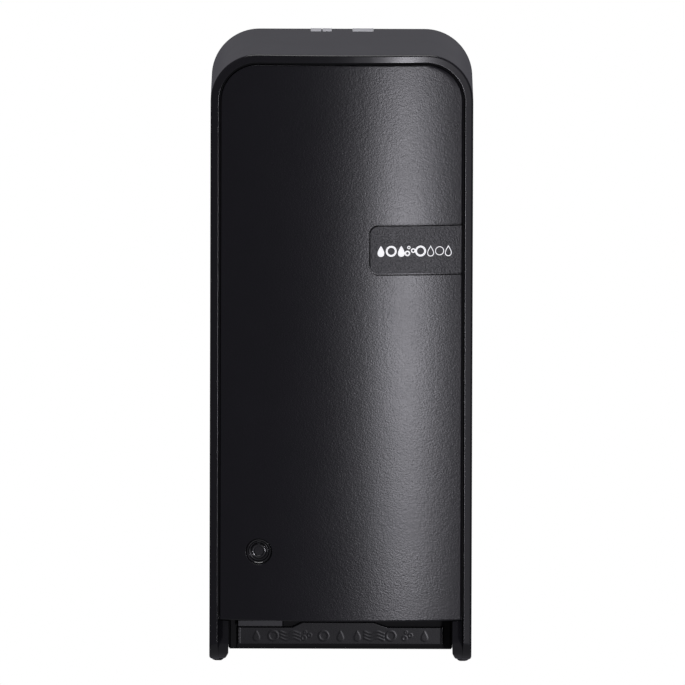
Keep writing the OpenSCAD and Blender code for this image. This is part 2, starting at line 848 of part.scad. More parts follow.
module middle_gear() {
    color([0.8, 0.8, 0.78]) on_wall() difference() {
        union() {
            wheel(output_x, middle_z, middle_y, middle_t, middle_n, motor_m, -90);
            wheel(output_x, middle_z, middle_y - middle_t, output_t + 1.2, pinion_n, output_m,
                90 + 180 / pinion_n);
        }
        rod_y(output_x, middle_z, shaft_r + run_fit, 0, side_d);
    }
}

module motor_pinion() {
    color([0.75, 0.65, 0.35]) on_wall() difference() {
        wheel(output_x, motor_z, middle_y, middle_t, pinion_n, motor_m, 90 + 180 / pinion_n);
        rod_y(output_x, motor_z, motor_shaft_r + run_fit, 0, side_d);
    }
}

module motor() {
    face = -front_plate_y + frame_t;
    flat = motor_r - 2;
    color([0.7, 0.7, 0.72]) on_wall() {
        intersection() {
            rod_y(output_x, motor_z, motor_r, face, face + motor_l);
            block([output_x - motor_r, -full_d, motor_z - flat], [output_x + motor_r, 0, motor_z + flat]);
        }
        rod_y(output_x, motor_z, motor_shaft_r, -middle_y, face);
    }
}

// U shaped frame that carries the motor, the gear shafts and the rack guide.
module gear_frame() {
    left = rack_back_x;
    low = motor_z - 7;
    high = output_z + 20;
    side_t = 1.3;
    color([0.16, 0.16, 0.17]) on_wall() difference() {
        union() {
            block([left, frame_y, low], [web_in, frame_y + frame_t, high]);
            block([left, front_plate_y - frame_t, low], [web_in, front_plate_y, high]);
            block([pump_r + 0.4, front_plate_y - frame_t, output_z - 8],
                [left - clear, rack_y, high - 4]);
            block([pump_r + 0.4, front_plate_y - frame_t, output_z - 8],
                [left + over, front_plate_y, high - 4]);
            block([web_in - side_t, front_plate_y, low], [web_in, frame_y, high]);
        }
        for (z = [output_z, middle_z]) rod_y(output_x, z, shaft_r, 0, side_d);
        rod_y(output_x, motor_z, motor_shaft_r + 1, 0, side_d);
        for (z = frame_screw_z) rod_x(web_in - side_t - over, half_w, frame_screw_y, z, screw_r);
    }
}

module gear_frame_screws() {
    head_x = web_in - 1.3;
    color([0.7, 0.7, 0.72]) on_wall() for (z = frame_screw_z) {
        rod_x(head_x - 1.3, head_x, frame_screw_y, z, 2.6);
        rod_x(head_x, chassis_hw, frame_screw_y, z, screw_r);
    }
}

module gear_shafts() {
    color([0.75, 0.75, 0.77]) on_wall() for (z = [output_z, middle_z])
        rod_y(output_x, z, shaft_r, -frame_y - frame_t, -front_plate_y + frame_t);
}

// Fork under the pump's collar with the rack that lifts it.
module actuator_fork() {
    pitch = PI * rack_m;
    half = pitch / 4 - backlash;
    lean = tan(20) * rack_m;
    root_x = rack_line_x - dedendum * rack_m;
    teeth = [for (k = [-7:4]) if (output_z + (k + 0.5) * pitch + pitch / 2 < rack_top) k];
    color([0.75, 0.2, 0.15]) on_wall() {
        difference() {
            union() {
                translate([0, pump_y, fork_z]) cylinder(r = pump_r - 1, h = fork_t, $fn = round_fn);
                block([0, rack_y - rack_t, fork_z], [rack_back_x + 0.1, rack_y, fork_z + fork_t]);
            }
            translate([0, pump_y, 0]) cylinder(r = spout_r + 1.5, h = shelf_z, $fn = round_fn);
            block([-spout_r - 1.5, -side_d, 0], [spout_r + 1.5, pump_y, shelf_z]);
        }
        translate([0, rack_y, 0]) rotate([90, 0, 0]) linear_extrude(rack_t) {
            translate([rack_back_x, fork_z]) square([root_x - rack_back_x, rack_top - fork_z]);
            for (k = teeth)
                translate([rack_line_x, output_z + (k + 0.5) * pitch]) polygon([
                    [-dedendum * rack_m - 0.1, -half - dedendum * lean],
                    [addendum * rack_m, -half + addendum * lean],
                    [addendum * rack_m, half - addendum * lean],
                    [-dedendum * rack_m - 0.1, half + dedendum * lean],
                ]);
        }
    }
}

module battery_box() {
    lip_in = box_hw - 1.2;
    color([0.15, 0.15, 0.16]) on_wall() {
        difference() {
            block([-box_hw, box_front, box_z], [box_hw, -plate_t, box_top]);
            block([-box_in_w / 2, box_front - over, box_z + box_t],
                [box_in_w / 2, -plate_t - box_t, box_top - box_t]);
        }
        both_sides() {
            block([box_hw - 0.1, box_front - door_t - 2 * clear - lip_t, box_z],
                [box_hw + rail_w, -plate_t, box_top]);
            block([lip_in, box_front - door_t - 2 * clear - lip_t, box_z],
                [box_hw, box_front - door_t - 2 * clear, box_top]);
        }
    }
}

// Four cells side by side, with every second one turned over.
module battery_cells() {
    color([0.2, 0.45, 0.3]) on_wall() for (i = [0:3])
        translate([cell_x[i], cell_y, cell_z + (i % 2) * (cell_l + cell_nub)])
            mirror([0, 0, i % 2]) {
                cylinder(r = cell_r, h = cell_l, $fn = round_fn);
                translate([0, 0, cell_l]) cylinder(r = 2.7, h = cell_nub, $fn = round_fn);
            }
}

// Springs press on the flat end of each cell.
module battery_springs() {
    color([0.75, 0.75, 0.77]) on_wall() for (i = [0, 2])
        translate([cell_x[i], cell_y, lower_contact + contact_t])
            coil(4, 0.5, cell_z - lower_contact - contact_t, 3);
    color([0.75, 0.75, 0.77]) on_wall() for (i = [1, 3])
        translate([cell_x[i], cell_y, cell_end])
            coil(4, 0.4, upper_contact - cell_end, 1);
}

module battery_contacts() {
    nub_r = 2.5;
    color([0.75, 0.75, 0.77]) on_wall() {
        for (pair = [[0, 1], [2, 3]])
            block([cell_x[pair[0]] - 5, cell_y - 5, lower_contact],
                [cell_x[pair[1]] + 5, cell_y + 5, lower_contact + contact_t]);
        for (pair = [[0, 0], [1, 2], [3, 3]])
            block([cell_x[pair[0]] - 5, cell_y - 5, upper_contact],
                [cell_x[pair[1]] + 5, cell_y + 5, upper_contact + contact_t]);
        for (i = [1, 3])
            translate([cell_x[i], cell_y, lower_contact + contact_t])
                cylinder(r = nub_r, h = cell_z - lower_contact - contact_t, $fn = round_fn);
        for (i = [0, 2])
            translate([cell_x[i], cell_y, cell_end])
                cylinder(r = nub_r, h = upper_contact - cell_end, $fn = round_fn);
    }
}

// The door slides up between the rails of the box.
module battery_door() {
    half = box_hw - 0.1 - clear;
    back = box_front - clear;
    color([0.17, 0.17, 0.18]) on_wall() difference() {
        union() {
            block([-half, back - door_t, box_z + clear], [half, back, box_top]);
            for (step = [0:3])
                block([-10, back - door_t - 0.5, box_top - 12 + 2.5 * step],
                    [10, back - door_t, box_top - 11 + 2.5 * step]);
        }
        block([-10, back - 0.8, box_top - 12], [10, back + over, box_top - 4]);
    }
}

cover_shell();
front_panel();
badge();
hinge_pin();
lock_body();
lock_plug();
lock_cam();
cam_screw();
wall_plate();
hinge_bracket();
bracket_screws();
chassis();
chassis_screws();
apron();
lock_keeper();
nozzle_grommet();
sensor_window();
sensor_board();
sensor_leds();
main_board();
switch_body();
switch_knob();
wiring();
refill_shelf();
refill_bottle();
refill_cap();
pump_body();
pump_piston();
pump_spring();
actuator_fork();
gear_frame();
gear_frame_screws();
gear_shafts();
output_gear();
middle_gear();
motor_pinion();
motor();
battery_box();
battery_cells();
battery_springs();
battery_contacts();
battery_door();
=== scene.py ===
"""Wall mounted soap dispenser: the looks of every piece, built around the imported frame.

Lengths inside the builders are millimetres with the foot of the cover at Z = 0, X to the right and Y into
the wall. make_piece() turns them into metres in the frame's own place.
"""
import logging
import math
from dataclasses import dataclass, field
from enum import Enum

import bmesh
import bpy
import numpy as np
from mathutils import Matrix, Vector


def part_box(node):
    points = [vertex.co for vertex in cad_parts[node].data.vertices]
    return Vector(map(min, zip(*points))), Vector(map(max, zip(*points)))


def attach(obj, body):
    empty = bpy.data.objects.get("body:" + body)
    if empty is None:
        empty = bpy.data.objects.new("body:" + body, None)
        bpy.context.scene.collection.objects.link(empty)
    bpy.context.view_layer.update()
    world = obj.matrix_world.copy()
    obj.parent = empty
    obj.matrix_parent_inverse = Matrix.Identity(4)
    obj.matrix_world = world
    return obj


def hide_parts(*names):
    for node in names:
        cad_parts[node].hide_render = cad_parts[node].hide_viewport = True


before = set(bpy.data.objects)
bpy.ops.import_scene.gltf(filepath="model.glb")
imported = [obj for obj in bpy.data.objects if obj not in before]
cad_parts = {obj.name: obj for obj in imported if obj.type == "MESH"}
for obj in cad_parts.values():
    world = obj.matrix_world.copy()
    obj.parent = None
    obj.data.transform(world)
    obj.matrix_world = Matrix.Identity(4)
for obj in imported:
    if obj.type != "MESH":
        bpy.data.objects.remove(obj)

LOG = logging.getLogger("dispenser")
MM = 0.001
WORN_POLISH = 0.12
NEUTRAL = (1.0, 1.0, 1.0)
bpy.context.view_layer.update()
FOOT_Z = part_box("cover_shell")[0][2]


def span(node: str) -> tuple[np.ndarray, np.ndarray]:
    """Lowest and highest corner of a CAD node.

    Args:
        node: name of the node.

    Returns:
        The two corners in millimetres above the foot of the cover.
    """
    low, high = (np.array(corner, float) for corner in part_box(node))
    lift = np.array([0.0, 0.0, FOOT_Z])
    return (low - lift) / MM, (high - lift) / MM


# ---------------------------------------------------------------------------------------------------
# Mesh building
# ---------------------------------------------------------------------------------------------------


@dataclass
class Shape:
    """Points in millimetres and the faces between them."""

    points: np.ndarray
    faces: list[tuple[int, ...]] = field(default_factory=list)

    def joined(self, *others: "Shape") -> "Shape":
        """Returns this shape and the others as one, with the face numbers of each moved on."""
        points, faces = [self.points], list(self.faces)
        count = len(self.points)
        for other in others:
            faces += [tuple(int(i) + count for i in face) for face in other.faces]
            points.append(other.points)
            count += len(other.points)
        return Shape(np.vstack(points), faces)


def quads(rows: int, columns: int, wrap: bool = False, keep: np.ndarray | None = None) -> np.ndarray:
    """Quads of a grid of points numbered row by row.

    Args:
        rows: number of rows of points.
        columns: number of points in a row.
        wrap: joins the last column to the first.
        keep: which cells are kept, one truth value per cell.

    Returns:
        One row of four point numbers per kept cell.
    """
    row = np.arange(rows - 1)[:, None]
    column = np.arange(columns if wrap else columns - 1)[None, :]
    after = (column + 1) % columns
    cells = np.stack([
        row * columns + column, row * columns + after,
        (row + 1) * columns + after, (row + 1) * columns + column,
    ], axis=-1)
    return cells[keep] if keep is not None else cells.reshape(-1, 4)


def loft(rings: np.ndarray, wrap: bool = True, first: bool = True, last: bool = True) -> Shape:
    """Skin over a stack of rings, each point joined to the same point of the next ring.

    Args:
        rings: array of ring, point and coordinate.
        wrap: closes every ring.
        first: closes the first ring with a flat face.
        last: closes the last ring with a flat face.

    Returns:
        The skin as a shape.
    """
    count, size = rings.shape[:2]
    faces = [tuple(face) for face in quads(count, size, wrap).tolist()]
    if first:
        faces.append(tuple(range(size - 1, -1, -1)))
    if last:
        faces.append(tuple(range((count - 1) * size, count * size)))
    return Shape(rings.reshape(-1, 3), faces)


def turned(profile: list[tuple[float, float]], centre: tuple[float, float], steps: int = 72) -> Shape:
    """Turns a profile about an axis along Y: each (radius, y) becomes a circle of that radius at that y.

    Args:
        profile: radius and y, from one end to the other.
        centre: X and Z of the axis.
        steps: points on each circle.

    Returns:
        A shape closed at both ends.
    """
    pairs = np.array(profile, float)
    angle = np.linspace(0, 2 * math.pi, steps, endpoint=False)
    across = centre[0] + pairs[:, :1] * np.cos(angle)
    up = centre[1] + pairs[:, :1] * np.sin(angle)
    along = np.repeat(pairs[:, 1:2], steps, axis=1)
    return loft(np.stack([across, along, up], axis=-1))


def arc(centre: tuple[float, float], radius: float, start: float, end: float, count: int) -> np.ndarray:
    """Points on a circle from angle start to angle end, in degrees, with both ends included."""
    angle = np.radians(np.linspace(start, end, count))
    return np.stack([centre[0] + radius * np.cos(angle), centre[1] + radius * np.sin(angle)], axis=-1)


def shrunk(outline: np.ndarray, step: float) -> np.ndarray:
    """Closed outline moved inwards: every point goes by step along the mean of its two sides' normals.

    Args:
        outline: points in order, anticlockwise.
        step: distance.

    Returns:
        The moved points.
    """
    ahead = np.roll(outline, -1, axis=0) - outline
    ahead /= np.linalg.norm(ahead, axis=1, keepdims=True) + 1e-12
    behind = np.roll(ahead, 1, axis=0)
    tangent = ahead + behind
    tangent /= np.linalg.norm(tangent, axis=1, keepdims=True) + 1e-12
    half = np.sqrt(np.clip((1 + np.sum(ahead * behind, axis=1, keepdims=True)) / 2, 0.25, 1))
    normal = np.stack([-tangent[:, 1], tangent[:, 0]], axis=-1)
    return outline + normal * step / half


def fillet_steps(radius: float, count: int = 4) -> list[tuple[float, float]]:
    """Quarter round as (inwards, down) pairs, from the side wall to the flat top."""
    angle = np.radians(np.linspace(0, 90, count + 1))
    return [(radius * (1 - math.cos(a)), radius * (1 - math.sin(a))) for a in angle]


def plate(outline: np.ndarray, back: float, front: float, radius: float) -> Shape:
    """Flat plate standing in X and Z with a rounded front edge.

    Args:
        outline: X and Z of its edge, anticlockwise as seen from the front.
        back: Y of its back face.
        front: Y of its front face, less than back.
        radius: rounding of the front edge.

    Returns:
        The closed plate.
    """
    rings = [(outline, back)]
    rings += [(shrunk(outline, inward), front + down) for inward, down in fillet_steps(radius)]
    stack = [np.column_stack([ring[:, 0], np.full(len(ring), y), ring[:, 1]]) for ring, y in rings]
    return loft(np.array(stack))


def make_piece(name: str, shape: Shape, body: str, material: bpy.types.Material,
               replaces: tuple[str, ...] = (), smooth: float = 35) -> bpy.types.Object:
    """Makes the Blender object of a shape, welded, facing outwards and in the frame's place.

    Args:
        name: object name.
        shape: its points and faces in millimetres.
        body: CAD body that carries it.
        material: its finish.
        replaces: CAD nodes that it stands for.
        smooth: edges sharper than this angle in degrees stay sharp.

    Returns:
        The new object.
    """
    mesh = bpy.data.meshes.new(name)
    points = shape.points * MM
    points[:, 2] += FOOT_Z
    mesh.from_pydata(points.tolist(), [], shape.faces)
    work = bmesh.new()
    work.from_mesh(mesh)
    bmesh.ops.remove_doubles(work, verts=work.verts, dist=2e-6)
    bmesh.ops.dissolve_degenerate(work, edges=work.edges, dist=1e-7)
    bmesh.ops.recalc_face_normals(work, faces=work.faces)
    work.to_mesh(mesh)
    work.free()
    mesh.shade_smooth()
    mesh.set_sharp_from_angle(angle=math.radians(smooth))
    mesh.materials.append(material)
    piece = bpy.data.objects.new(name, mesh)
    bpy.context.scene.collection.objects.link(piece)
    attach(piece, body)
    if replaces:
        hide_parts(*replaces)
    LOG.info("%s: %d faces on %s", name, len(mesh.polygons), body)
    return piece


# ---------------------------------------------------------------------------------------------------
# Finishes
# ---------------------------------------------------------------------------------------------------


class Grain(Enum):
    """How a surface's fine relief is laid out."""

    MOULDED = "moulded"
    BRUSHED = "brushed"


def new_group(name: str, inputs: dict[str, float], outputs: tuple[str, ...]) -> bpy.types.NodeTree:
    """Empty shader node group with number inputs and outputs.

    Args:
        name: group name.
        inputs: default of each input.
        outputs: names of the outputs.

    Returns:
        The group with its input and output nodes.
    """
    tree = bpy.data.node_groups.new(name, "ShaderNodeTree")
    vector = tree.interface.new_socket("Vector", in_out="INPUT", socket_type="NodeSocketVector")
    vector.hide_value = True
    for key, value in inputs.items():
        socket = tree.interface.new_socket(key, in_out="INPUT", socket_type="NodeSocketFloat")
        socket.default_value = value
    for key in outputs:
        tree.interface.new_socket(key, in_out="OUTPUT", socket_type="NodeSocketFloat")
    tree.nodes.new("NodeGroupInput")
    tree.nodes.new("NodeGroupOutput")
    return tree


def ends(tree: bpy.types.NodeTree) -> tuple[bpy.types.Node, bpy.types.Node]:
    """Finds the two ends of a group.

    Args:
        tree: the group.

    Returns:
        Its input node and its output node.
    """
    given = next(node for node in tree.nodes if node.type == "GROUP_INPUT")
    taken = next(node for node in tree.nodes if node.type == "GROUP_OUTPUT")
    return given, taken


def math_node(tree: bpy.types.NodeTree, kind: str, first: object, second: object) -> bpy.types.NodeSocket:
    """Adds a Math node.

    Args:
        tree: where the node goes.
        kind: the operation.
        first: its first operand, a socket or a number.
        second: its second operand, a socket or a number.

    Returns:
        The result's socket.
    """
    node = tree.nodes.new("ShaderNodeMath")
    node.operation = kind
    for socket, value in zip(node.inputs, (first, second)):
        if isinstance(value, bpy.types.NodeSocket):
            tree.links.new(value, socket)
        else:
            socket.default_value = value
    return node.outputs[0]


def noise(tree: bpy.types.NodeTree, vector: bpy.types.NodeSocket, scale: object, detail: float,
          rough: float = 0.5) -> bpy.types.NodeSocket:
    """Adds a noise texture.

    Args:
        tree: where the node goes.
        vector: where the noise is sampled.
        scale: its scale, a socket or a number.
        detail: number of octaves.
        rough: strength of each octave against the one before.

    Returns:
        The value's socket.
    """
    node = tree.nodes.new("ShaderNodeTexNoise")
    node.inputs["Detail"].default_value = detail
    node.inputs["Roughness"].default_value = rough
    if isinstance(scale, bpy.types.NodeSocket):
        tree.links.new(scale, node.inputs["Scale"])
    else:
        node.inputs["Scale"].default_value = scale
    tree.links.new(vector, node.inputs["Vector"])
    return node.outputs["Fac"]


def grain_group() -> bpy.types.NodeTree:
    """Fine relief of a spark eroded mould: two noises a factor three apart, and a slow mottle."""
    tree = new_group("mould_grain", {"Cells per metre": 2600.0, "Coarse share": 0.35}, ("Height", "Mottle"))
    given, taken = ends(tree)
    fine = noise(tree, given.outputs["Vector"], given.outputs["Cells per metre"], 2.0, 0.6)
    third = math_node(tree, "MULTIPLY", given.outputs["Cells per metre"], 0.36)
    coarse = noise(tree, given.outputs["Vector"], third, 1.0)
    share = math_node(tree, "MULTIPLY", coarse, given.outputs["Coarse share"])
    tree.links.new(math_node(tree, "ADD", fine, share), taken.inputs["Height"])
    tree.links.new(noise(tree, given.outputs["Vector"], 38.0, 4.0, 0.65), taken.inputs["Mottle"])
    return tree


def wear_group() -> bpy.types.NodeTree:
    """Mask of rubbed edges: where the surface is convex, broken up by a noise."""
    tree = new_group("edge_wear", {"Amount": 0.5}, ("Mask",))
    given, taken = ends(tree)
    geometry = tree.nodes.new("ShaderNodeNewGeometry")
    ramp = tree.nodes.new("ShaderNodeMapRange")
    ramp.inputs["From Min"].default_value = 0.53
    ramp.inputs["From Max"].default_value = 0.62
    tree.links.new(geometry.outputs["Pointiness"], ramp.inputs["Value"])
    patches = noise(tree, given.outputs["Vector"], 420.0, 3.0, 0.7)
    broken = math_node(tree, "MULTIPLY", ramp.outputs["Result"], patches)
    tree.links.new(math_node(tree, "MULTIPLY", broken, given.outputs["Amount"]), taken.inputs["Mask"])
    return tree


def brushed_group() -> bpy.types.NodeTree:
    """Fine lines along X of drawn or rolled metal: a noise stretched forty times along X."""
    tree = new_group("drawn_lines", {"Lines per metre": 5200.0}, ("Height", "Mottle"))
    given, taken = ends(tree)
    stretch = tree.nodes.new("ShaderNodeMapping")
    stretch.inputs["Scale"].default_value = (0.025, 1.0, 1.0)
    tree.links.new(given.outputs["Vector"], stretch.inputs["Vector"])
    lines = noise(tree, stretch.outputs["Vector"], given.outputs["Lines per metre"], 2.0, 0.6)
    tree.links.new(lines, taken.inputs["Height"])
    tree.links.new(noise(tree, given.outputs["Vector"], 60.0, 4.0, 0.6), taken.inputs["Mottle"])
    return tree


GROUPS: dict[str, bpy.types.NodeTree] = {}


def shared_group(name: str) -> bpy.types.NodeTree:
    """Looks up a shared node group and builds it the first time.

    Args:
        name: "grain", "wear" or "drawn".

    Returns:
        The group.
    """
    builders = {"grain": grain_group, "wear": wear_group, "drawn": brushed_group}
    if name not in GROUPS:
        GROUPS[name] = builders[name]()
    return GROUPS[name]


@dataclass(frozen=True)
class Finish:
    """One surface finish: its colour, gloss, relief and wear, and an emission that paints a glow on a surface
    that is no lamp.
    """

    name: str
    colour: tuple[float, float, float]
    roughness: float = 0.35
    metallic: float = 0.0
    grain: Grain = Grain.MOULDED
    cells: float = 2600.0
    depth: float = 0.05
    rough_spread: float = 0.08
    tint: float = 0.12
    worn: tuple[float, float, float] = (0.05, 0.05, 0.055)
    wear: float = 0.25
    coat: float = 0.0
    ior: float = 1.5
    subsurface: float = 0.0
    specular: float = 0.5
    # Emission strength: a painted glow, light given off by a surface that is no lamp.
    glow: float = 0.0

    def material(self) -> bpy.types.Material:
        """Builds the material, or gives the one already built."""
        known = bpy.data.materials.get(self.name)
        if known:
            return known
        made = bpy.data.materials.new(self.name)
        made.use_nodes = True
        tree = made.node_tree
        shader = tree.nodes["Principled BSDF"]
        place = tree.nodes.new("ShaderNodeTexCoord").outputs["Object"]
        relief = tree.nodes.new("ShaderNodeGroup")
        relief.node_tree = shared_group("drawn" if self.grain is Grain.BRUSHED else "grain")
        relief.inputs[1].default_value = self.cells
        tree.links.new(place, relief.inputs["Vector"])
        wear = tree.nodes.new("ShaderNodeGroup")
        wear.node_tree = shared_group("wear")
        wear.inputs["Amount"].default_value = self.wear
        tree.links.new(place, wear.inputs["Vector"])
        self._colour(tree, shader, relief.outputs["Mottle"], wear.outputs["Mask"])
        self._gloss(tree, shader, relief.outputs["Mottle"], wear.outputs["Mask"])
        bump = tree.nodes.new("ShaderNodeBump")
        bump.inputs["Strength"].default_value = 1.0
        bump.inputs["Distance"].default_value = self.depth * MM
        tree.links.new(relief.outputs["Height"], bump.inputs["Height"])
        tree.links.new(bump.outputs["Normal"], shader.inputs["Normal"])
        shader.inputs["Metallic"].default_value = self.metallic
        shader.inputs["IOR"].default_value = self.ior
        shader.inputs["Coat Weight"].default_value = self.coat
        shader.inputs["Specular IOR Level"].default_value = self.specular
        # Emission in the surface's own colour: painted glow wherever glow is above zero.
        shader.inputs["Emission Color"].default_value = (*self.colour, 1)
        shader.inputs["Emission Strength"].default_value = self.glow
        shader.inputs["Subsurface Weight"].default_value = self.subsurface
        shader.inputs["Subsurface Scale"].default_value = 2 * MM
        return made

    def _colour(self, tree: bpy.types.NodeTree, shader: bpy.types.Node, mottle: bpy.types.NodeSocket,
                worn: bpy.types.NodeSocket) -> None:
        """Mixes the base colour between darker and lighter, then lays the worn colour on the edges.

        Args:
            tree: the material's nodes.
            shader: its Principled BSDF.
            mottle: slow noise that shifts the colour.
            worn: mask of rubbed edges.
        """
        base = np.array(self.colour)
        shade = tree.nodes.new("ShaderNodeMix")
        shade.data_type = "RGBA"
        shade.inputs["A"].default_value = (*(base * (1 - self.tint)), 1)
        shade.inputs["B"].default_value = (*(base * (1 + self.tint)), 1)
        tree.links.new(mottle, shade.inputs["Factor"])
        rub = tree.nodes.new("ShaderNodeMix")
        rub.data_type = "RGBA"
        rub.inputs["B"].default_value = (*self.worn, 1)
        tree.links.new(worn, rub.inputs["Factor"])
        tree.links.new(shade.outputs["Result"], rub.inputs["A"])
        tree.links.new(rub.outputs["Result"], shader.inputs["Base Color"])

    def _gloss(self, tree: bpy.types.NodeTree, shader: bpy.types.Node, mottle: bpy.types.NodeSocket,
               worn: bpy.types.NodeSocket) -> None:
        """Spreads the roughness about its mean, with worn edges a little smoother.

        Args:
            tree: the material's nodes.
            shader: its Principled BSDF.
            mottle: slow noise that shifts the roughness.
            worn: mask of rubbed edges.
        """
        spread = math_node(tree, "MULTIPLY", mottle, self.rough_spread)
        mean = math_node(tree, "ADD", spread, self.roughness - self.rough_spread / 2)
        polish = math_node(tree, "MULTIPLY", worn, WORN_POLISH)
        tree.links.new(math_node(tree, "SUBTRACT", mean, polish), shader.inputs["Roughness"])


COVER = Finish("cover_black", (0.0115, 0.0112, 0.0135), roughness=0.19, depth=0.003, cells=1600, wear=0.0,
               rough_spread=0.05)
PANEL = Finish("panel_black", (0.0115, 0.011, 0.0142), roughness=0.25, depth=0.05, cells=1400, wear=0.0,
               specular=0.42, rough_spread=0.05)
BADGE = Finish("badge_black", (0.016, 0.0156, 0.019), roughness=0.33, depth=0.2, cells=1250, wear=0.0)
# The white print also emits light: painted glow that keeps it bright under the dim lamps.
GLOWING_PRINT = Finish("white_print_painted_glow", (0.88, 0.88, 0.89), roughness=0.5, depth=0.004, tint=0.02, wear=0, glow=0.62)
INNER = Finish("inner_black", (0.017, 0.017, 0.019), roughness=0.36, depth=0.03, wear=0.12)
APRON = Finish("apron_black", (0.012, 0.0118, 0.0135), roughness=0.25, depth=0.008, cells=1300, wear=0.15)
LOCK = Finish("lock_black", (0.012, 0.012, 0.0135), roughness=0.12, depth=0.002, wear=0.0, ior=1.9)
# Base finish darkened below the other blacks: painted shade for the chassis and the lip under the apron,
# which sit in deep shadow.
BASE_PAINTED_SHADE = Finish("base_black_painted_shade", (0.006, 0.006, 0.0068), roughness=0.62, depth=0.03, wear=0.0, specular=0.25)
KEEPER = Finish("keeper_grey", (0.045, 0.045, 0.05), roughness=0.4, depth=0.02)
GREY = Finish("hinge_grey", (0.5, 0.5, 0.53), roughness=0.42, depth=0.02, worn=(0.5, 0.5, 0.5))
STEEL = Finish("zinc_steel", (0.56, 0.57, 0.58), roughness=0.3, metallic=1.0, grain=Grain.BRUSHED,
               cells=5200, depth=0.01, worn=(0.8, 0.8, 0.8))
BRASS = Finish("turned_brass", (0.68, 0.47, 0.18), roughness=0.28, metallic=1.0, grain=Grain.BRUSHED,
               cells=5200, depth=0.01, worn=(0.85, 0.7, 0.4))
BOARD = Finish("board_green", (0.012, 0.09, 0.035), roughness=0.3, depth=0.02, cells=900,
               worn=(0.3, 0.2, 0.05))
# Rubber finish: real rubber on the nozzle grommet, and painted shade on the dark pieces that fill the panel
# gap, the base gaps and the ear's split.
RUBBER_AND_GAP_SHADE = Finish("rubber_black_gap_shade", (0.013, 0.013, 0.014), roughness=0.8, depth=0.03, wear=0.0, specular=0.2)
WINDOW = Finish("sensor_red", (0.03, 0.002, 0.006), roughness=0.08, depth=0.002, wear=0, coat=0.3)
LENS = Finish("lamp_resin", (0.6, 0.62, 0.68), roughness=0.08, depth=0.002, wear=0, coat=0.4)
WIRE = Finish("wire_red", (0.32, 0.015, 0.015), roughness=0.4, depth=0.01, wear=0)
MILKY = Finish("bottle_milky", (0.7, 0.74, 0.78), roughness=0.34, depth=0.02, cells=700, tint=0.05, wear=0.1,
               worn=(0.85, 0.87, 0.9), subsurface=0.35)
WHITE = Finish("pump_white", (0.78, 0.79, 0.8), roughness=0.32, depth=0.012, tint=0.04, wear=0.1,
               worn=(0.9, 0.9, 0.9))
ACETAL = Finish("gear_acetal", (0.72, 0.69, 0.6), roughness=0.38, depth=0.012, tint=0.05, wear=0.15,
                worn=(0.85, 0.82, 0.75))
FORK = Finish("fork_red", (0.4, 0.03, 0.02), roughness=0.36, depth=0.02, worn=(0.6, 0.15, 0.1))
SLEEVE = Finish("cell_sleeve", (0.02, 0.1, 0.045), roughness=0.2, depth=0.004, cells=400, wear=0.3,
                worn=(0.3, 0.35, 0.3), coat=0.5)


# ---------------------------------------------------------------------------------------------------
# The housing
# ---------------------------------------------------------------------------------------------------


@dataclass
class Housing:
    """Sizes that the cover, the panel and the badge share."""

    width: float = 120.0
    height: float = 281.0
    side_d: float = 114.0
    bow_r: float = 260.0
    corner_r: float = 22.0
    wall: float = 3.1
    rear: float = 4.5
    foot_r: float = 15.0
    foot_w: float = 8.7
    rim_w: float = 3.8
    gap: float = 1.0
    panel_t: float = 2.5
    panel_inset: float = 0.6
    panel_z: float = 20.5

    @property
    def half(self) -> float:
        """Half the width."""
        return self.width / 2

    @property
    def axis_y(self) -> float:
        """Y of the axis of the bowed front."""
        bow = self.bow_r - math.sqrt(self.bow_r**2 - self.half**2)
        return self.bow_r - self.side_d - bow

    def front(self, x: np.ndarray, inset: object) -> np.ndarray:
        """Y of the bowed front moved back by inset: the near side of a circle about the bow's axis."""
        return self.axis_y - np.sqrt((self.bow_r - inset) ** 2 - x**2)

    def lower_arc(self, z: np.ndarray, inset: object) -> np.ndarray:
        """Y of the rounded lower front corner at height z; far forwards above the rounding."""
        reach = np.sqrt(np.clip((self.foot_r - inset) ** 2 - (self.foot_r - z) ** 2, 0, None))
        return np.where(z < self.foot_r, self.foot_r - self.side_d - 2 - reach, -1e6)


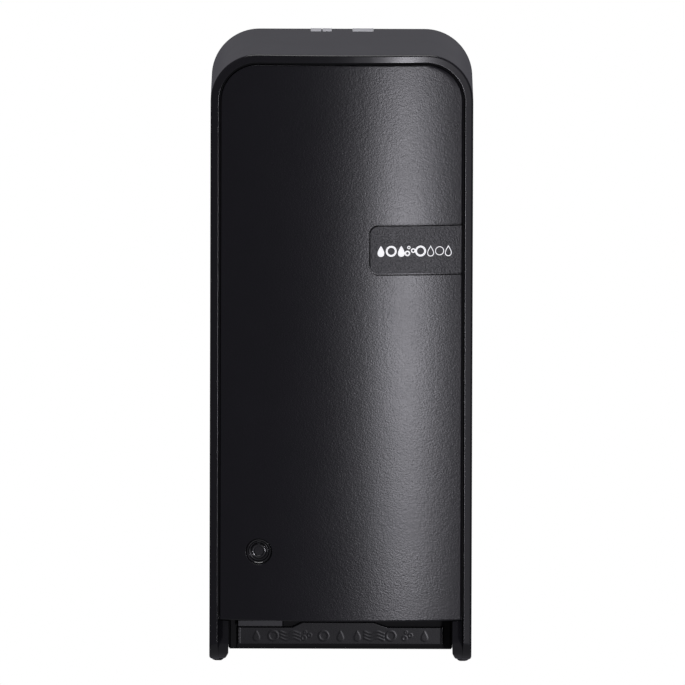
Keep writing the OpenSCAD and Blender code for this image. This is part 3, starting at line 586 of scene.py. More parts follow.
@dataclass
class Cover:
    """The cover shell with its rim, feet, ledge and the hinge lugs that hold the pin."""

    housing: Housing
    edge_r: float = 0.8
    inner_r: float = 0.4
    rear_r: float = 0.5
    slot_x: tuple[float, float] = (4.8, 14.4)
    slot_y: float = 17.0
    slot_r: float = 1.0
    ledge_w: float = 10.0
    ledge_t: float = 2.0
    slope: float = 4.6
    foot_flat: float = 6.3
    base_r: float = 3.2
    toe_steps: int = 9
    seat_tilt: float = -1.5
    seat_fade: tuple[float, float] = (4.0, 12.0)
    support: float = 0.12
    lug_r: float = 4.0
    inner_share: float = 0.35

    def across(self) -> tuple[np.ndarray, np.ndarray]:
        """Sections of the top from the left corner to the right one.

        Returns:
            X of each section, and how deep the slot has cut it back there; zero outside the slots. A
            slot starts with two sections at the same X, and its inner corners are quarter rounds.
        """
        h = self.housing
        end = h.half - h.corner_r
        r = self.slot_r
        turn = np.radians(np.linspace(0, 90, 6))
        xs, cuts = [], []
        start = -end
        for low, high in self.slots():
            xs += [np.linspace(start, low, 9)]
            cuts += [np.zeros(9)]
            near = low + r * (1 - np.cos(turn))
            depth = self.slot_y - r + r * np.sin(turn)
            xs += [near, high + low - near[::-1]]
            cuts += [depth, depth[::-1]]
            start = high
        xs += [np.linspace(start, end, 9)]
        cuts += [np.zeros(9)]
        return np.concatenate(xs), np.concatenate(cuts)

    def slots(self) -> tuple[tuple[float, float], tuple[float, float]]:
        """X ranges of the two slots for the hinge ears."""
        low, high = self.slot_x
        return (-high, -low), (low, high)

    def path(self) -> tuple[np.ndarray, np.ndarray, np.ndarray]:
        """Outline from the left foot over the top to the right foot.

        Returns:
            The points in X and Z, the inward normal at each, and the slot's depth there.
        """
        h = self.housing
        r = h.corner_r
        feet = np.concatenate([
            h.foot_r * (1 - np.cos(np.radians(np.linspace(38.1, 89, 18)))),
            np.linspace(15.5, 19.9, 5), [20.2, 20.3], np.linspace(22, h.height - r, 26),
        ])
        left = np.column_stack([np.full(len(feet), -h.half), feet])
        corner = arc((-h.half + r, h.height - r), r, 180, 90, 25)[1:-1]
        half = np.vstack([left, corner])
        top_x, top_cut = self.across()
        top = np.column_stack([top_x, np.full(len(top_x), h.height)])
        points = np.vstack([half, top, (half * [-1, 1])[::-1]])
        cut_back = np.concatenate([np.zeros(len(half)), top_cut, np.zeros(len(half))])
        inner = np.column_stack([np.clip(points[:, 0], r - h.half, h.half - r),
                                 np.minimum(points[:, 1], h.height - r)])
        inward = inner - points
        inward /= np.linalg.norm(inward, axis=1, keepdims=True)
        return points, inward, cut_back

    def inner_offset(self, z: np.ndarray) -> np.ndarray:
        """Thickness of the side wall at height z: the foot's slope, its thick part, then the thin wall."""
        h = self.housing
        return np.interp(z, [0, 1.2, 3.0, self.slope, h.panel_z - 0.6, h.panel_z - 0.3],
                         [self.foot_flat, self.foot_flat + 0.9, h.foot_w - 0.75, h.foot_w, h.foot_w, h.wall])

    def rings(self) -> np.ndarray:
        """Cross sections of the wall along the outline, with the feet's lower ends rounded.

        Returns:
            Array of section, point and coordinate.
        """
        points, inward, cut_back = self.path()
        count = self.toe_steps
        turn = np.radians(np.linspace(0, 80, count))
        toe_z = self.base_r * (1 - np.cos(turn))
        toe_in = self.base_r * (1 - np.sin(turn))
        toes = np.column_stack([np.full(count, points[0, 0]), toe_z])
        place = np.vstack([toes, points, (toes * [-1, 1])[::-1]])
        normal = np.vstack([np.repeat(inward[:1], count, 0), inward, np.repeat(inward[-1:], count, 0)])
        shrink = np.concatenate([toe_in, np.zeros(len(points)), toe_in[::-1]])
        cut_back = np.concatenate([np.zeros(count), cut_back, np.zeros(count)])
        stack = []
        for offset, depth, is_front in self.profile(place[:, 1], shrink):
            at = place + normal * offset[:, None]
            if is_front:
                y = np.maximum(self.housing.front(at[:, 0], depth),
                               self.housing.lower_arc(place[:, 1], depth))
            else:
                y = -np.maximum(depth, cut_back)
            stack.append(np.column_stack([at[:, 0], y, at[:, 1]]))
        return np.stack(stack, axis=1)

    def profile(self, z: np.ndarray, shrink: np.ndarray) -> list[tuple[np.ndarray, np.ndarray, bool]]:
        """Outline of the wall's section at every height.

        Args:
            z: heights of the sections.
            shrink: how far each section is drawn in, at the rounded ends of the feet.

        Returns:
            For each point of the section, its offset inwards, its depth, and whether the depth is
            counted from the bowed front or from the wall behind.
        """
        h = self.housing
        one = np.ones_like(z)
        inner = self.inner_offset(z)
        lip = h.rim_w + 1.0 * np.clip(1 - z / 12, 0, 1) ** 2
        ledge = np.where(z > h.panel_z - 0.25, self.ledge_w, inner)
        fade = np.clip((z - self.seat_fade[0]) / (self.seat_fade[1] - self.seat_fade[0]), 0, 1)
        fade = fade * fade * (3 - 2 * fade)
        shallow = self.inner_r + self.support
        seat = shallow + (h.panel_inset + h.panel_t - shallow) * fade
        tilt = np.where(z > h.panel_z - 0.25, 0.0, self.seat_tilt * fade)
        out: list[tuple[np.ndarray, np.ndarray, bool]] = []
        for angle in np.radians([90, 45, 0]):
            out.append((one * self.rear_r * (1 - math.cos(angle)) + shrink,
                        one * (h.rear + self.rear_r * (1 - math.sin(angle))) + shrink, False))
        for depth in (h.rear + 2, 30.0, 60.0, 90.0):
            out.append((shrink, one * depth, False))
        out.append((shrink, one * (self.edge_r + 1.2), True))
        out.append((shrink, one * (self.edge_r + 0.1) + shrink, True))
        for inward, down in fillet_steps(self.edge_r, 5):
            out.append((inward + shrink, down + shrink, True))
        out.append((self.edge_r + self.support + shrink, shrink, True))
        out.append((lip - self.inner_r - self.support, shrink, True))
        for angle in np.radians(np.linspace(0, 90, 5)):
            out.append((lip - self.inner_r * (1 - math.sin(angle)),
                        one * self.inner_r * (1 - math.cos(angle)) + shrink, True))
        out.append((lip, one * (self.inner_r + 0.1) + shrink, True))
        out.append((lip, one * seat + shrink, True))
        drawn = shrink * self.inner_share
        out.append((ledge - drawn, one * seat + tilt + shrink, True))
        out.append((ledge - drawn, one * (seat + self.ledge_t) + shrink, True))
        out.append((inner - drawn, one * (seat + self.ledge_t) + shrink, True))
        out.append((inner - drawn, one * h.rear + shrink, False))
        return out

    def lugs(self) -> Shape:
        """Lugs under the top that hold the pin: a round eye with a web up to the top wall.

        Returns:
            The lug between the slots and the two outside them, as one shape.
        """
        low, high = span("hinge_pin")
        centre_y, centre_z = (low[1] + high[1]) / 2, (low[2] + high[2]) / 2
        r = self.lug_r
        top = self.housing.height - self.housing.wall + 0.1
        eye = arc((centre_y, centre_z), r, -180, 0, 25)
        outline = np.vstack([eye, [[-self.housing.rear, centre_z + 0.5], [-self.housing.rear, top],
                                   [centre_y - r, top]]])
        shapes = []
        near, far = self.slot_x
        for x0, x1 in ((-near, near), (far, high[0]), (low[0], -far)):
            rings = [np.column_stack([np.full(len(outline), x), outline[:, 0], outline[:, 1]])
                     for x in (x0, x1)]
            shapes.append(loft(np.array(rings)))
        return shapes[0].joined(*shapes[1:])

    def gap_shade_strip(self) -> Shape:
        """Dark strip on the ledge in the gap round the panel, painted shade that keeps the gap dark: a flat
        strip along the outline.

        Returns:
            The strip, over the top and down both sides.
        """
        points, inward, _ = self.path()
        keep = points[:, 1] > self.housing.panel_z
        points, inward = points[keep], inward[keep]
        h = self.housing
        rings = []
        play, edge, shoulder, face = 0.02, 0.25, 2.0, 1.8
        seat = h.panel_inset + h.panel_t - play
        for offset, depth in ((play, seat), (play, shoulder), (edge, face), (h.gap - edge, face),
                              (h.gap - play, shoulder), (h.gap - play, seat)):
            at = points + inward * (h.rim_w + offset)
            rings.append(np.column_stack([at[:, 0], h.front(at[:, 0], depth), at[:, 1]]))
        return loft(np.stack(rings, axis=1))

    def build(self) -> None:
        """Makes the shell, its lugs and the dark strip that paints the shade in the gap."""
        # Dark strip in the panel gap: painted shade.
        make_piece("panel_gap_painted_shade", self.gap_shade_strip(), "cover", RUBBER_AND_GAP_SHADE.material())
        make_piece("cover_shell_skin", loft(self.rings()), "cover", COVER.material(),
                   ("cover_shell",))
        make_piece("cover_lugs", self.lugs(), "cover", COVER.material())


@dataclass
class FrontPanel:
    """The bowed front panel with its lock hole and the pocket for the badge."""

    housing: Housing
    edge_r: float = 0.5
    badge_w: float = 42.1
    badge_h: float = 21.7
    badge_z: float = 191.5
    badge_t: float = 1.1
    badge_r: float = 3.9
    groove: float = 0.9
    groove_d: float = 2.1
    lock_x: float = -37.4
    lock_z: float = 52.3
    lock_r: float = 6.0
    boss_r: float = 9.0

    @property
    def half(self) -> float:
        """Half the panel's width."""
        return self.housing.half - self.housing.rim_w - self.housing.gap

    @property
    def top(self) -> float:
        """Height of the panel's upper edge."""
        return self.housing.height - self.housing.rim_w - self.housing.gap

    @property
    def corner(self) -> float:
        """Radius of the panel's upper corners."""
        return self.housing.corner_r - self.housing.rim_w - self.housing.gap

    def half_at(self, z: np.ndarray) -> np.ndarray:
        """Half the width at height z: constant, then drawn in along the corner's circle."""
        rise = np.clip(z - (self.top - self.corner), 0, self.corner)
        return self.half - self.corner + np.sqrt(self.corner**2 - rise**2)

    def edge_drop(self, x: np.ndarray, z: np.ndarray) -> np.ndarray:
        """Rounds the edge with a quarter circle over the last edge_r.

        Args:
            x: X of each point.
            z: height of each point.

        Returns:
            How far each point lies behind the face.
        """
        h = self.housing
        centre_x, centre_z = self.half - self.corner, self.top - self.corner
        beyond = (np.abs(x) > centre_x) & (z > centre_z)
        radial = self.corner - np.hypot(np.abs(x) - centre_x, z - centre_z)
        flat = np.minimum(np.minimum(self.half - np.abs(x), z - h.panel_z), self.top - z)
        near = np.clip(np.where(beyond, radial, flat), 0, self.edge_r)
        return self.edge_r - np.sqrt(self.edge_r**2 - (self.edge_r - near) ** 2)

    def face(self, x: np.ndarray, z: np.ndarray, inset: object = 0.0) -> np.ndarray:
        """Points on the panel's face.

        Args:
            x: X of each point.
            z: height of each point.
            inset: how far each point is moved back.

        Returns:
            The points.
        """
        h = self.housing
        y = h.front(x, h.panel_inset + inset) + self.edge_drop(x, z)
        return np.stack([x, y, z], axis=-1)

    def lines(self) -> tuple[np.ndarray, np.ndarray, tuple[slice, slice], tuple[slice, slice]]:
        """Grid lines across and up, with the cells that the lock and the badge take.

        Returns:
            X of the lines across, Z of the lines up, the lock's window and the badge's window, each as a
            slice of rows and a slice of columns.
        """
        h = self.housing
        edge = np.array([0, 0.04, 0.12, 0.26, 0.5, 0.62])
        lock = (self.lock_x - 10, self.lock_x + 10)
        badge_left = self.half - self.badge_w - self.groove - 2.2
        across = np.concatenate([
            -self.half + edge, np.linspace(-self.half + edge[-1], lock[0], 5)[1:], np.linspace(*lock, 13)[1:],
            np.linspace(lock[1], badge_left, 14)[1:], np.linspace(badge_left, badge_left + 7, 9)[1:],
            np.linspace(badge_left + 7, self.half - edge[-1], 15)[1:], (self.half - edge)[::-1][1:],
        ])
        tall = (self.lock_z - 10, self.lock_z + 10)
        pocket = self.badge_h / 2 + self.groove + 2.2
        band = (self.badge_z - pocket, self.badge_z + pocket)
        bend = self.top - self.corner
        arc_up = bend + self.corner * np.sin(np.radians(np.linspace(0, 76, 20)))
        up = np.concatenate([
            h.panel_z + edge, np.linspace(h.panel_z + edge[-1], tall[0], 6)[1:], np.linspace(*tall, 13)[1:],
            np.linspace(tall[1], band[0], 16)[1:], np.linspace(*band, 25)[1:],
            np.linspace(band[1], bend, 8)[1:], arc_up[1:], (self.top - edge)[::-1],
        ])

        def window(lines: np.ndarray, low: float, high: float) -> slice:
            """The cells between two places."""
            return slice(int(np.argmin(abs(lines - low))), int(np.argmin(abs(lines - high))))

        lock_window = (window(up, *tall), window(across, *lock))
        badge_window = (window(up, *band), window(across, badge_left, self.half))
        return across, up, lock_window, badge_window

    def sheet(self, inset: float, with_badge: bool) -> Shape:
        """One face of the panel as a grid with open windows for the lock and the badge.

        Args:
            inset: how far the face lies behind the panel's front.
            with_badge: True for the front, which has the badge's window and the rounded edge.

        Returns:
            The open sheet.
        """
        across, up, lock_window, badge_window = self.lines()
        z = np.repeat(up[:, None], len(across), axis=1)
        x = across[None, :] / self.half * self.half_at(z)
        keep = np.ones((len(up) - 1, len(across) - 1), bool)
        keep[lock_window] = False
        if with_badge:
            keep[badge_window] = False
        points = self.face(x, z, inset) if with_badge else np.stack(
            [x, self.housing.front(x, self.housing.panel_inset + inset), z], axis=-1)
        faces = [tuple(face) for face in quads(len(up), len(across), keep=keep).tolist()]
        return Shape(points.reshape(-1, 3), faces)

    def lock_ring(self) -> tuple[np.ndarray, np.ndarray]:
        """The border of the lock's window.

        Returns:
            Its points as X and Z, and for each the direction out of the lock's axis.
        """
        across, up, (rows, columns), _ = self.lines()
        xs, zs = across[columns.start:columns.stop + 1], up[rows.start:rows.stop + 1]
        border = np.vstack([
            np.column_stack([xs, np.full(len(xs), zs[0])])[:-1],
            np.column_stack([np.full(len(zs), xs[-1]), zs])[:-1],
            np.column_stack([xs[::-1], np.full(len(xs), zs[-1])])[:-1],
            np.column_stack([np.full(len(zs), xs[0]), zs[::-1]])[:-1],
        ])
        away = border - [self.lock_x, self.lock_z]
        angle = np.arctan2(away[:, 1], away[:, 0])
        return border, np.column_stack([np.cos(angle), np.sin(angle)])

    def lock_hole(self) -> Shape:
        """Front face round the lock, the hole's rounded lip and wall, and the boss behind it.

        Returns:
            The surface from the front border to the back one.
        """
        h = self.housing
        border, away = self.lock_ring()
        centre = np.array([self.lock_x, self.lock_z])
        lip = 0.2
        rings = []
        for share in (0.0, 0.5, 0.97, 1.0):
            flat = border * (1 - share) + (centre + away * (self.lock_r + lip)) * share
            rings.append(self.face(flat[:, 0], flat[:, 1]))
        for angle in np.radians([22.5, 45, 67.5, 90]):
            flat = centre + away * (self.lock_r + lip * (1 - math.sin(angle)))
            ring = self.face(flat[:, 0], flat[:, 1])
            ring[:, 1] += lip * (1 - math.cos(angle))
            rings.append(ring)
        boss_y = -(h.side_d - 0.5)
        for radius in (self.lock_r, self.boss_r):
            flat = centre + away * radius
            rings.append(np.column_stack([flat[:, 0], np.full(len(flat), boss_y), flat[:, 1]]))
        back = h.panel_inset + h.panel_t
        flat = centre + away * self.boss_r
        seat_y = np.minimum(h.front(flat[:, 0], back), boss_y)
        rings.append(np.column_stack([flat[:, 0], seat_y, flat[:, 1]]))
        rings.append(np.column_stack([border[:, 0], h.front(border[:, 0], back), border[:, 1]]))
        return loft(np.array(rings), first=False, last=False)

    def pocket_path(self, spare: float) -> tuple[np.ndarray, np.ndarray]:
        """The badge window's border and the badge's outline grown by spare, point by point.

        The straight runs keep the border's own X or Z, and the border's corner stretches are spread
        evenly over the outline's two round corners.

        Args:
            spare: growth of the badge's outline.

        Returns:
            The two open paths, from the lower right over the left end to the upper right.
        """
        across, up, _, (rows, columns) = self.lines()
        xs, zs = across[columns.start:columns.stop + 1], up[rows.start:rows.stop + 1]
        lower = np.column_stack([xs[::-1], np.full(len(xs), zs[0])])
        left = np.column_stack([np.full(len(zs), xs[0]), zs])[1:]
        upper = np.column_stack([xs, np.full(len(xs), zs[-1])])[1:]
        border = np.vstack([lower, left, upper])
        r = self.badge_r + self.groove
        grow = spare - self.groove
        x0 = self.half - self.badge_w - self.groove
        reach = self.badge_h / 2 + self.groove
        z_low, z_high = self.badge_z - reach, self.badge_z + reach
        inner = border.copy()
        radius = r + grow
        below = (border[:, 1] == zs[0]) & (border[:, 0] >= x0 + r)
        above = (border[:, 1] == zs[-1]) & (border[:, 0] >= x0 + r)
        aside = (border[:, 0] == xs[0]) & (border[:, 1] >= z_low + r) & (border[:, 1] <= z_high - r)
        inner[below, 1] = z_low - grow
        inner[above, 1] = z_high + grow
        inner[aside, 0] = x0 - grow
        index = np.arange(len(border))
        first_low, last_low = index[below].max() + 1, index[aside].min() - 1
        first_high, last_high = index[aside].max() + 1, index[above].min() - 1
        for first, last, centre_z, start, end in (
                (first_low, last_low, z_low + r, 270, 180), (first_high, last_high, z_high - r, 180, 90)):
            count = last - first + 1
            angle = np.radians(np.linspace(start, end, count + 2)[1:-1])
            inner[first:last + 1] = np.column_stack([
                x0 + r + radius * np.cos(angle), centre_z + radius * np.sin(angle)])
        return border, inner

    def pocket(self) -> Shape:
        """Front face round the badge, the pocket's lip and wall, and its floor drawn to a centre line.

        Returns:
            The surface, open along the border and at the panel's right edge.
        """
        lip = 0.07
        border, edge = self.pocket_path(self.groove + lip)
        _, wall = self.pocket_path(self.groove)
        rings = [self.face(*((border * (1 - s) + edge * s).T)) for s in (0.0, 0.5, 0.96, 1.0)]
        for angle in np.radians([30, 60, 90]):
            share = math.sin(angle)
            flat = edge * (1 - share) + wall * share
            ring = self.face(*flat.T)
            ring[:, 1] += lip * (1 - math.cos(angle))
            rings.append(ring)
        floor = self.groove_d
        rings.append(self.face(*wall.T, floor))
        centre = np.column_stack([np.maximum(wall[:, 0], self.half - self.badge_w + self.badge_r),
                                  np.full(len(wall), self.badge_z)])
        rings += [self.face(*((wall * (1 - s) + centre * s).T), floor) for s in (0.01, 0.3, 1.0)]
        return loft(np.array(rings), wrap=False, first=False, last=False)

    def badge_shape(self) -> Shape:
        """The badge: its outline with a rounded edge, its bowed face and back drawn to a centre line.

        Returns:
            The closed badge.
        """
        _, wall = self.pocket_path(0.0)
        r, flush = 0.1, 0.03
        centre = np.column_stack([np.maximum(wall[:, 0], self.half - self.badge_w + self.badge_r),
                                  np.full(len(wall), self.badge_z)])

        def ring(grow: float, inset: float, share: float = 0.0) -> np.ndarray:
            """The outline grown, moved back by inset and drawn towards the centre line by share."""
            _, flat = self.pocket_path(grow)
            flat = flat * (1 - share) + centre * share
            return self.face(*flat.T, inset)

        back = self.badge_t
        rings = [ring(0.0, back, s) for s in (1.0, 0.5, 0.0)]
        rings += [ring(-r * (1 - math.cos(a)), r * (1 - math.sin(a)) + flush)
                  for a in np.radians([0, 30, 60, 90])]
        rings += [ring(-r, flush, s) for s in (0.01, 0.5, 1.0)]
        stack = np.array(rings)
        body = loft(stack, wrap=False, first=False, last=False)
        count, size = stack.shape[:2]
        for column, flip in ((0, 1), (size - 1, -1)):
            body.faces.append(tuple(row * size + column for row in range(count))[::flip])
        return body

    def build(self) -> None:
        """Makes the panel and the badge."""
        back_inset = self.housing.panel_t
        front = self.sheet(0.0, True).joined(self.lock_hole(), self.pocket(), self.sheet(back_inset, False))
        panel = make_piece("front_panel_skin", front, "cover", PANEL.material(),
                           ("front_panel",))
        close_edges(panel)
        make_piece("badge_skin", self.badge_shape(), "cover", BADGE.material(), ("badge",))


def close_edges(piece: bpy.types.Object) -> None:
    """Joins the two open borders of a sheet and its back, then turns every face outwards.

    Args:
        piece: the object to close.
    """
    work = bmesh.new()
    work.from_mesh(piece.data)
    rim = [edge for edge in work.edges if edge.is_boundary]
    bmesh.ops.bridge_loops(work, edges=rim)
    left = [edge for edge in work.edges if edge.is_boundary]
    if left:
        bmesh.ops.holes_fill(work, edges=left)
    bmesh.ops.recalc_face_normals(work, faces=work.faces)
    work.to_mesh(piece.data)
    work.free()
    piece.data.shade_smooth()
    piece.data.set_sharp_from_angle(angle=math.radians(35))


# ---------------------------------------------------------------------------------------------------
# Signs: generic relief and print made from distances to drops, bubbles and waves
# ---------------------------------------------------------------------------------------------------


class Sign(Enum):
    """Kinds of sign on the apron and the badge."""

    DROP = "drop"
    RING = "ring"
    BUBBLES = "bubbles"
    WAVES = "waves"
    THIN_DROP = "thin drop"
    THIN_RING = "thin ring"


def drop_outline(centre: tuple[float, float], height: float, count: int = 40) -> np.ndarray:
    """Outline of a water drop: a circle below whose upper half is drawn out to a point.

    Args:
        centre: its middle.
        height: its height.
        count: number of points.

    Returns:
        The points, anticlockwise from the tip.
    """
    r = height * 0.33
    turn = np.linspace(0, 2 * math.pi, count, endpoint=False)
    wide = r * np.sin(turn) * np.sin(turn / 2) ** 1.3
    tall = np.cos(turn) * height / 2
    return np.column_stack([centre[0] - wide * 1.25, centre[1] + tall])


def circle_outline(centre: tuple[float, float], radius: float, count: int = 40) -> np.ndarray:
    """Points of a circle, anticlockwise."""
    return arc(centre, radius, 0, 360 * (1 - 1 / count), count)


def wave_outline(centre: tuple[float, float], length: float, lift: float, thick: float,
                 count: int = 34) -> np.ndarray:
    """Outline of a wave: a sine line of one and a half turns with the given thickness.

    Args:
        centre: its middle.
        length: its length.
        lift: height of its crests over the middle.
        thick: its thickness.
        count: points along each side.

    Returns:
        The points, anticlockwise.
    """
    x = np.linspace(-length / 2, length / 2, count)
    z = lift * np.sin(x / length * 3 * math.pi)
    lower = np.column_stack([centre[0] + x, centre[1] + z - thick / 2])
    upper = np.column_stack([centre[0] + x, centre[1] + z + thick / 2])[::-1]
    return np.vstack([lower, upper])


def sign_outlines(kind: Sign, x: float, z: float,
                  height: float) -> list[tuple[np.ndarray, np.ndarray | None]]:
    """Outlines of one sign.

    Args:
        kind: which sign.
        x: its middle.
        z: its middle.
        height: its height.

    Returns:
        Pairs of an outer outline and an inner one or None.
    """
    r = height / 2
    if kind is Sign.DROP:
        return [(drop_outline((x, z), height), None)]
    if kind is Sign.RING:
        return [(circle_outline((x, z), r), circle_outline((x, z), r * 0.66))]
    if kind is Sign.THIN_RING:
        return [(circle_outline((x, z), r), circle_outline((x, z), r * 0.84))]
    if kind is Sign.THIN_DROP:
        return [(drop_outline((x, z), height), drop_outline((x, z - 0.03 * height), height * 0.78))]
    if kind is Sign.BUBBLES:
        spots = ((-0.55, -0.4, 0.5), (0.5, 0.1, 0.42), (-0.3, 0.66, 0.3))
        places = [((x + a * r, z + b * r), c * r) for a, b, c in spots]
        return [(circle_outline(place, size), circle_outline(place, size * 0.5)) for place, size in places]
    return [(wave_outline((x, z + up * height), height * 1.9, height * 0.1, height * 0.15), None)
            for up in (-0.3, 0.0, 0.3)]


def inside(points: np.ndarray, outline: np.ndarray) -> np.ndarray:
    """Distance of each point to a closed outline, positive inside.

    Args:
        points: array of points.
        outline: corners in order.

    Returns:
        The signed distances.
    """
    a, b = outline, np.roll(outline, -1, axis=0)
    along = b - a
    to = points[:, None, :] - a[None]
    share = np.clip(np.sum(to * along, -1) / (np.sum(along**2, -1) + 1e-12), 0, 1)
    near = np.linalg.norm(to - share[..., None] * along, axis=-1).min(axis=1)
    x, z = points[:, None, 0], points[:, None, 1]
    spans = (a[None, :, 1] > z) != (b[None, :, 1] > z)
    cross = a[None, :, 0] + (z - a[None, :, 1]) * along[None, :, 0] / (along[None, :, 1] + 1e-12)
    odd = np.sum(spans & (x < cross), axis=1) % 2 == 1
    return np.where(odd, near, -near)


@dataclass
class Lock:
    """The lock in the panel: a stepped ring, and a plug with a dished face and a notched rim."""

    panel: FrontPanel
    ring_front: float = -117.0
    ring_back: float = -113.5
    plug_r: float = 3.5
    plug_proud: float = 0.35
    dish_d: float = 0.75
    notch: float = 12.5

    def ring(self) -> Shape:
        """The stepped ring, lying in the hole.

        Returns:
            A closed ring; its profile goes round the flange, down two hollow bevels and back.
        """
        _, high = span("lock_body")
        bore, flange = 3.56, 7.0
        bevels = [(5.96, 0.0), (5.9, 0.15), (5.78, 0.6), (5.6, 1.02), (5.35, 1.34), (5.05, 1.5), (4.9, 1.58),
                  (4.82, 1.8), (4.7, 2.05), (4.5, 2.26), (4.25, 2.38), (3.7, 2.42), (bore, 2.5)]
        profile = [(flange, high[1]), (flange, self.ring_back - 0.1), (bevels[0][0], self.ring_back)]
        profile += [(radius, self.ring_front + deep) for radius, deep in bevels]
        profile += [(bore, high[1]), (flange, high[1])]
        shape = turned(profile, (self.panel.lock_x, self.panel.lock_z))
        shape.faces = [face for face in shape.faces if len(face) == 4]
        return shape

    def plug(self) -> Shape:
        """The plug: a dished face inside a round rim that is cut away at the top.

        Returns:
            The closed plug; points of the rim within the notch's angle are pressed back to the dish.
        """
        low, high = span("lock_plug")
        front = low[1] - self.plug_proud
        dish = front + self.dish_d
        rim = [(self.plug_r, 0.7), (3.43, 0.4), (3.24, 0.15), (2.95, 0.02), (2.6, 0.0), (2.35, 0.12),
               (2.2, 0.45)]
        profile = [(self.plug_r, high[1])] + [(radius, front + deep) for radius, deep in rim]
        profile += [(2.0, dish), (0.4, dish), (0.02, dish)]
        shape = turned(profile, (self.panel.lock_x, self.panel.lock_z), steps=90)
        angle = np.degrees(np.arctan2(shape.points[:, 2] - self.panel.lock_z,
                                      shape.points[:, 0] - self.panel.lock_x))
        cut = np.abs(angle - 90) < self.notch
        shape.points[:, 1] = np.where(cut, np.maximum(shape.points[:, 1], dish), shape.points[:, 1])
        return shape

    def build(self) -> None:
        """Makes the ring and the plug."""
        make_piece("lock_ring", self.ring(), "cover", LOCK.material(), ("lock_body",))
        make_piece("lock_plug_skin", self.plug(), "lock", LOCK.material(), ("lock_plug",))


@dataclass
class BadgePrint:
    """White printed signs on the badge, each a thin film that follows the bowed face."""

    panel: FrontPanel
    left: float = 16.3
    height: float = 5.1
    lift: float = 0.06

    def film(self, outer: np.ndarray, inner: np.ndarray | None) -> Shape:
        """One printed patch: its outline raised over the badge, with its edge going down to the face.

        Args:
            outer: outline of the patch.
            inner: outline of the hole in it, or None.

        Returns:
            The patch.
        """
        def ring(flat: np.ndarray, inset: float) -> np.ndarray:
            """An outline laid on the panel's face."""
            return self.panel.face(flat[:, 0], flat[:, 1], inset)

        low, high = 0.06, 0.03 - self.lift
        if inner is None:
            core = outer * 0.5 + outer.mean(axis=0) * 0.5
            return loft(np.array([ring(outer, low), ring(outer, high), ring(core, high)]))
        return loft(np.array([ring(outer, low), ring(outer, high), ring(inner, high), ring(inner, low)]),
                    first=False, last=False)

    def build(self) -> None:
        """Makes the row of signs as one piece."""
        row = ((Sign.DROP, 1.7, 1.0), (Sign.RING, 6.4, 0.98), (Sign.DROP, 11.0, 1.0),
               (Sign.BUBBLES, 15.2, 1.0), (Sign.RING, 19.8, 0.98), (Sign.THIN_DROP, 24.4, 1.0),
               (Sign.THIN_RING, 28.5, 0.8), (Sign.THIN_DROP, 32.5, 1.0))
        films = []
        for kind, place, share in row:
            signs = sign_outlines(kind, self.left + place, self.panel.badge_z - 0.6, self.height * share)
            films += [self.film(outer, inner) for outer, inner in signs]
        # The print's finish glows: painted light on the signs.
        make_piece("badge_print", films[0].joined(*films[1:]), "cover", GLOWING_PRINT.material())


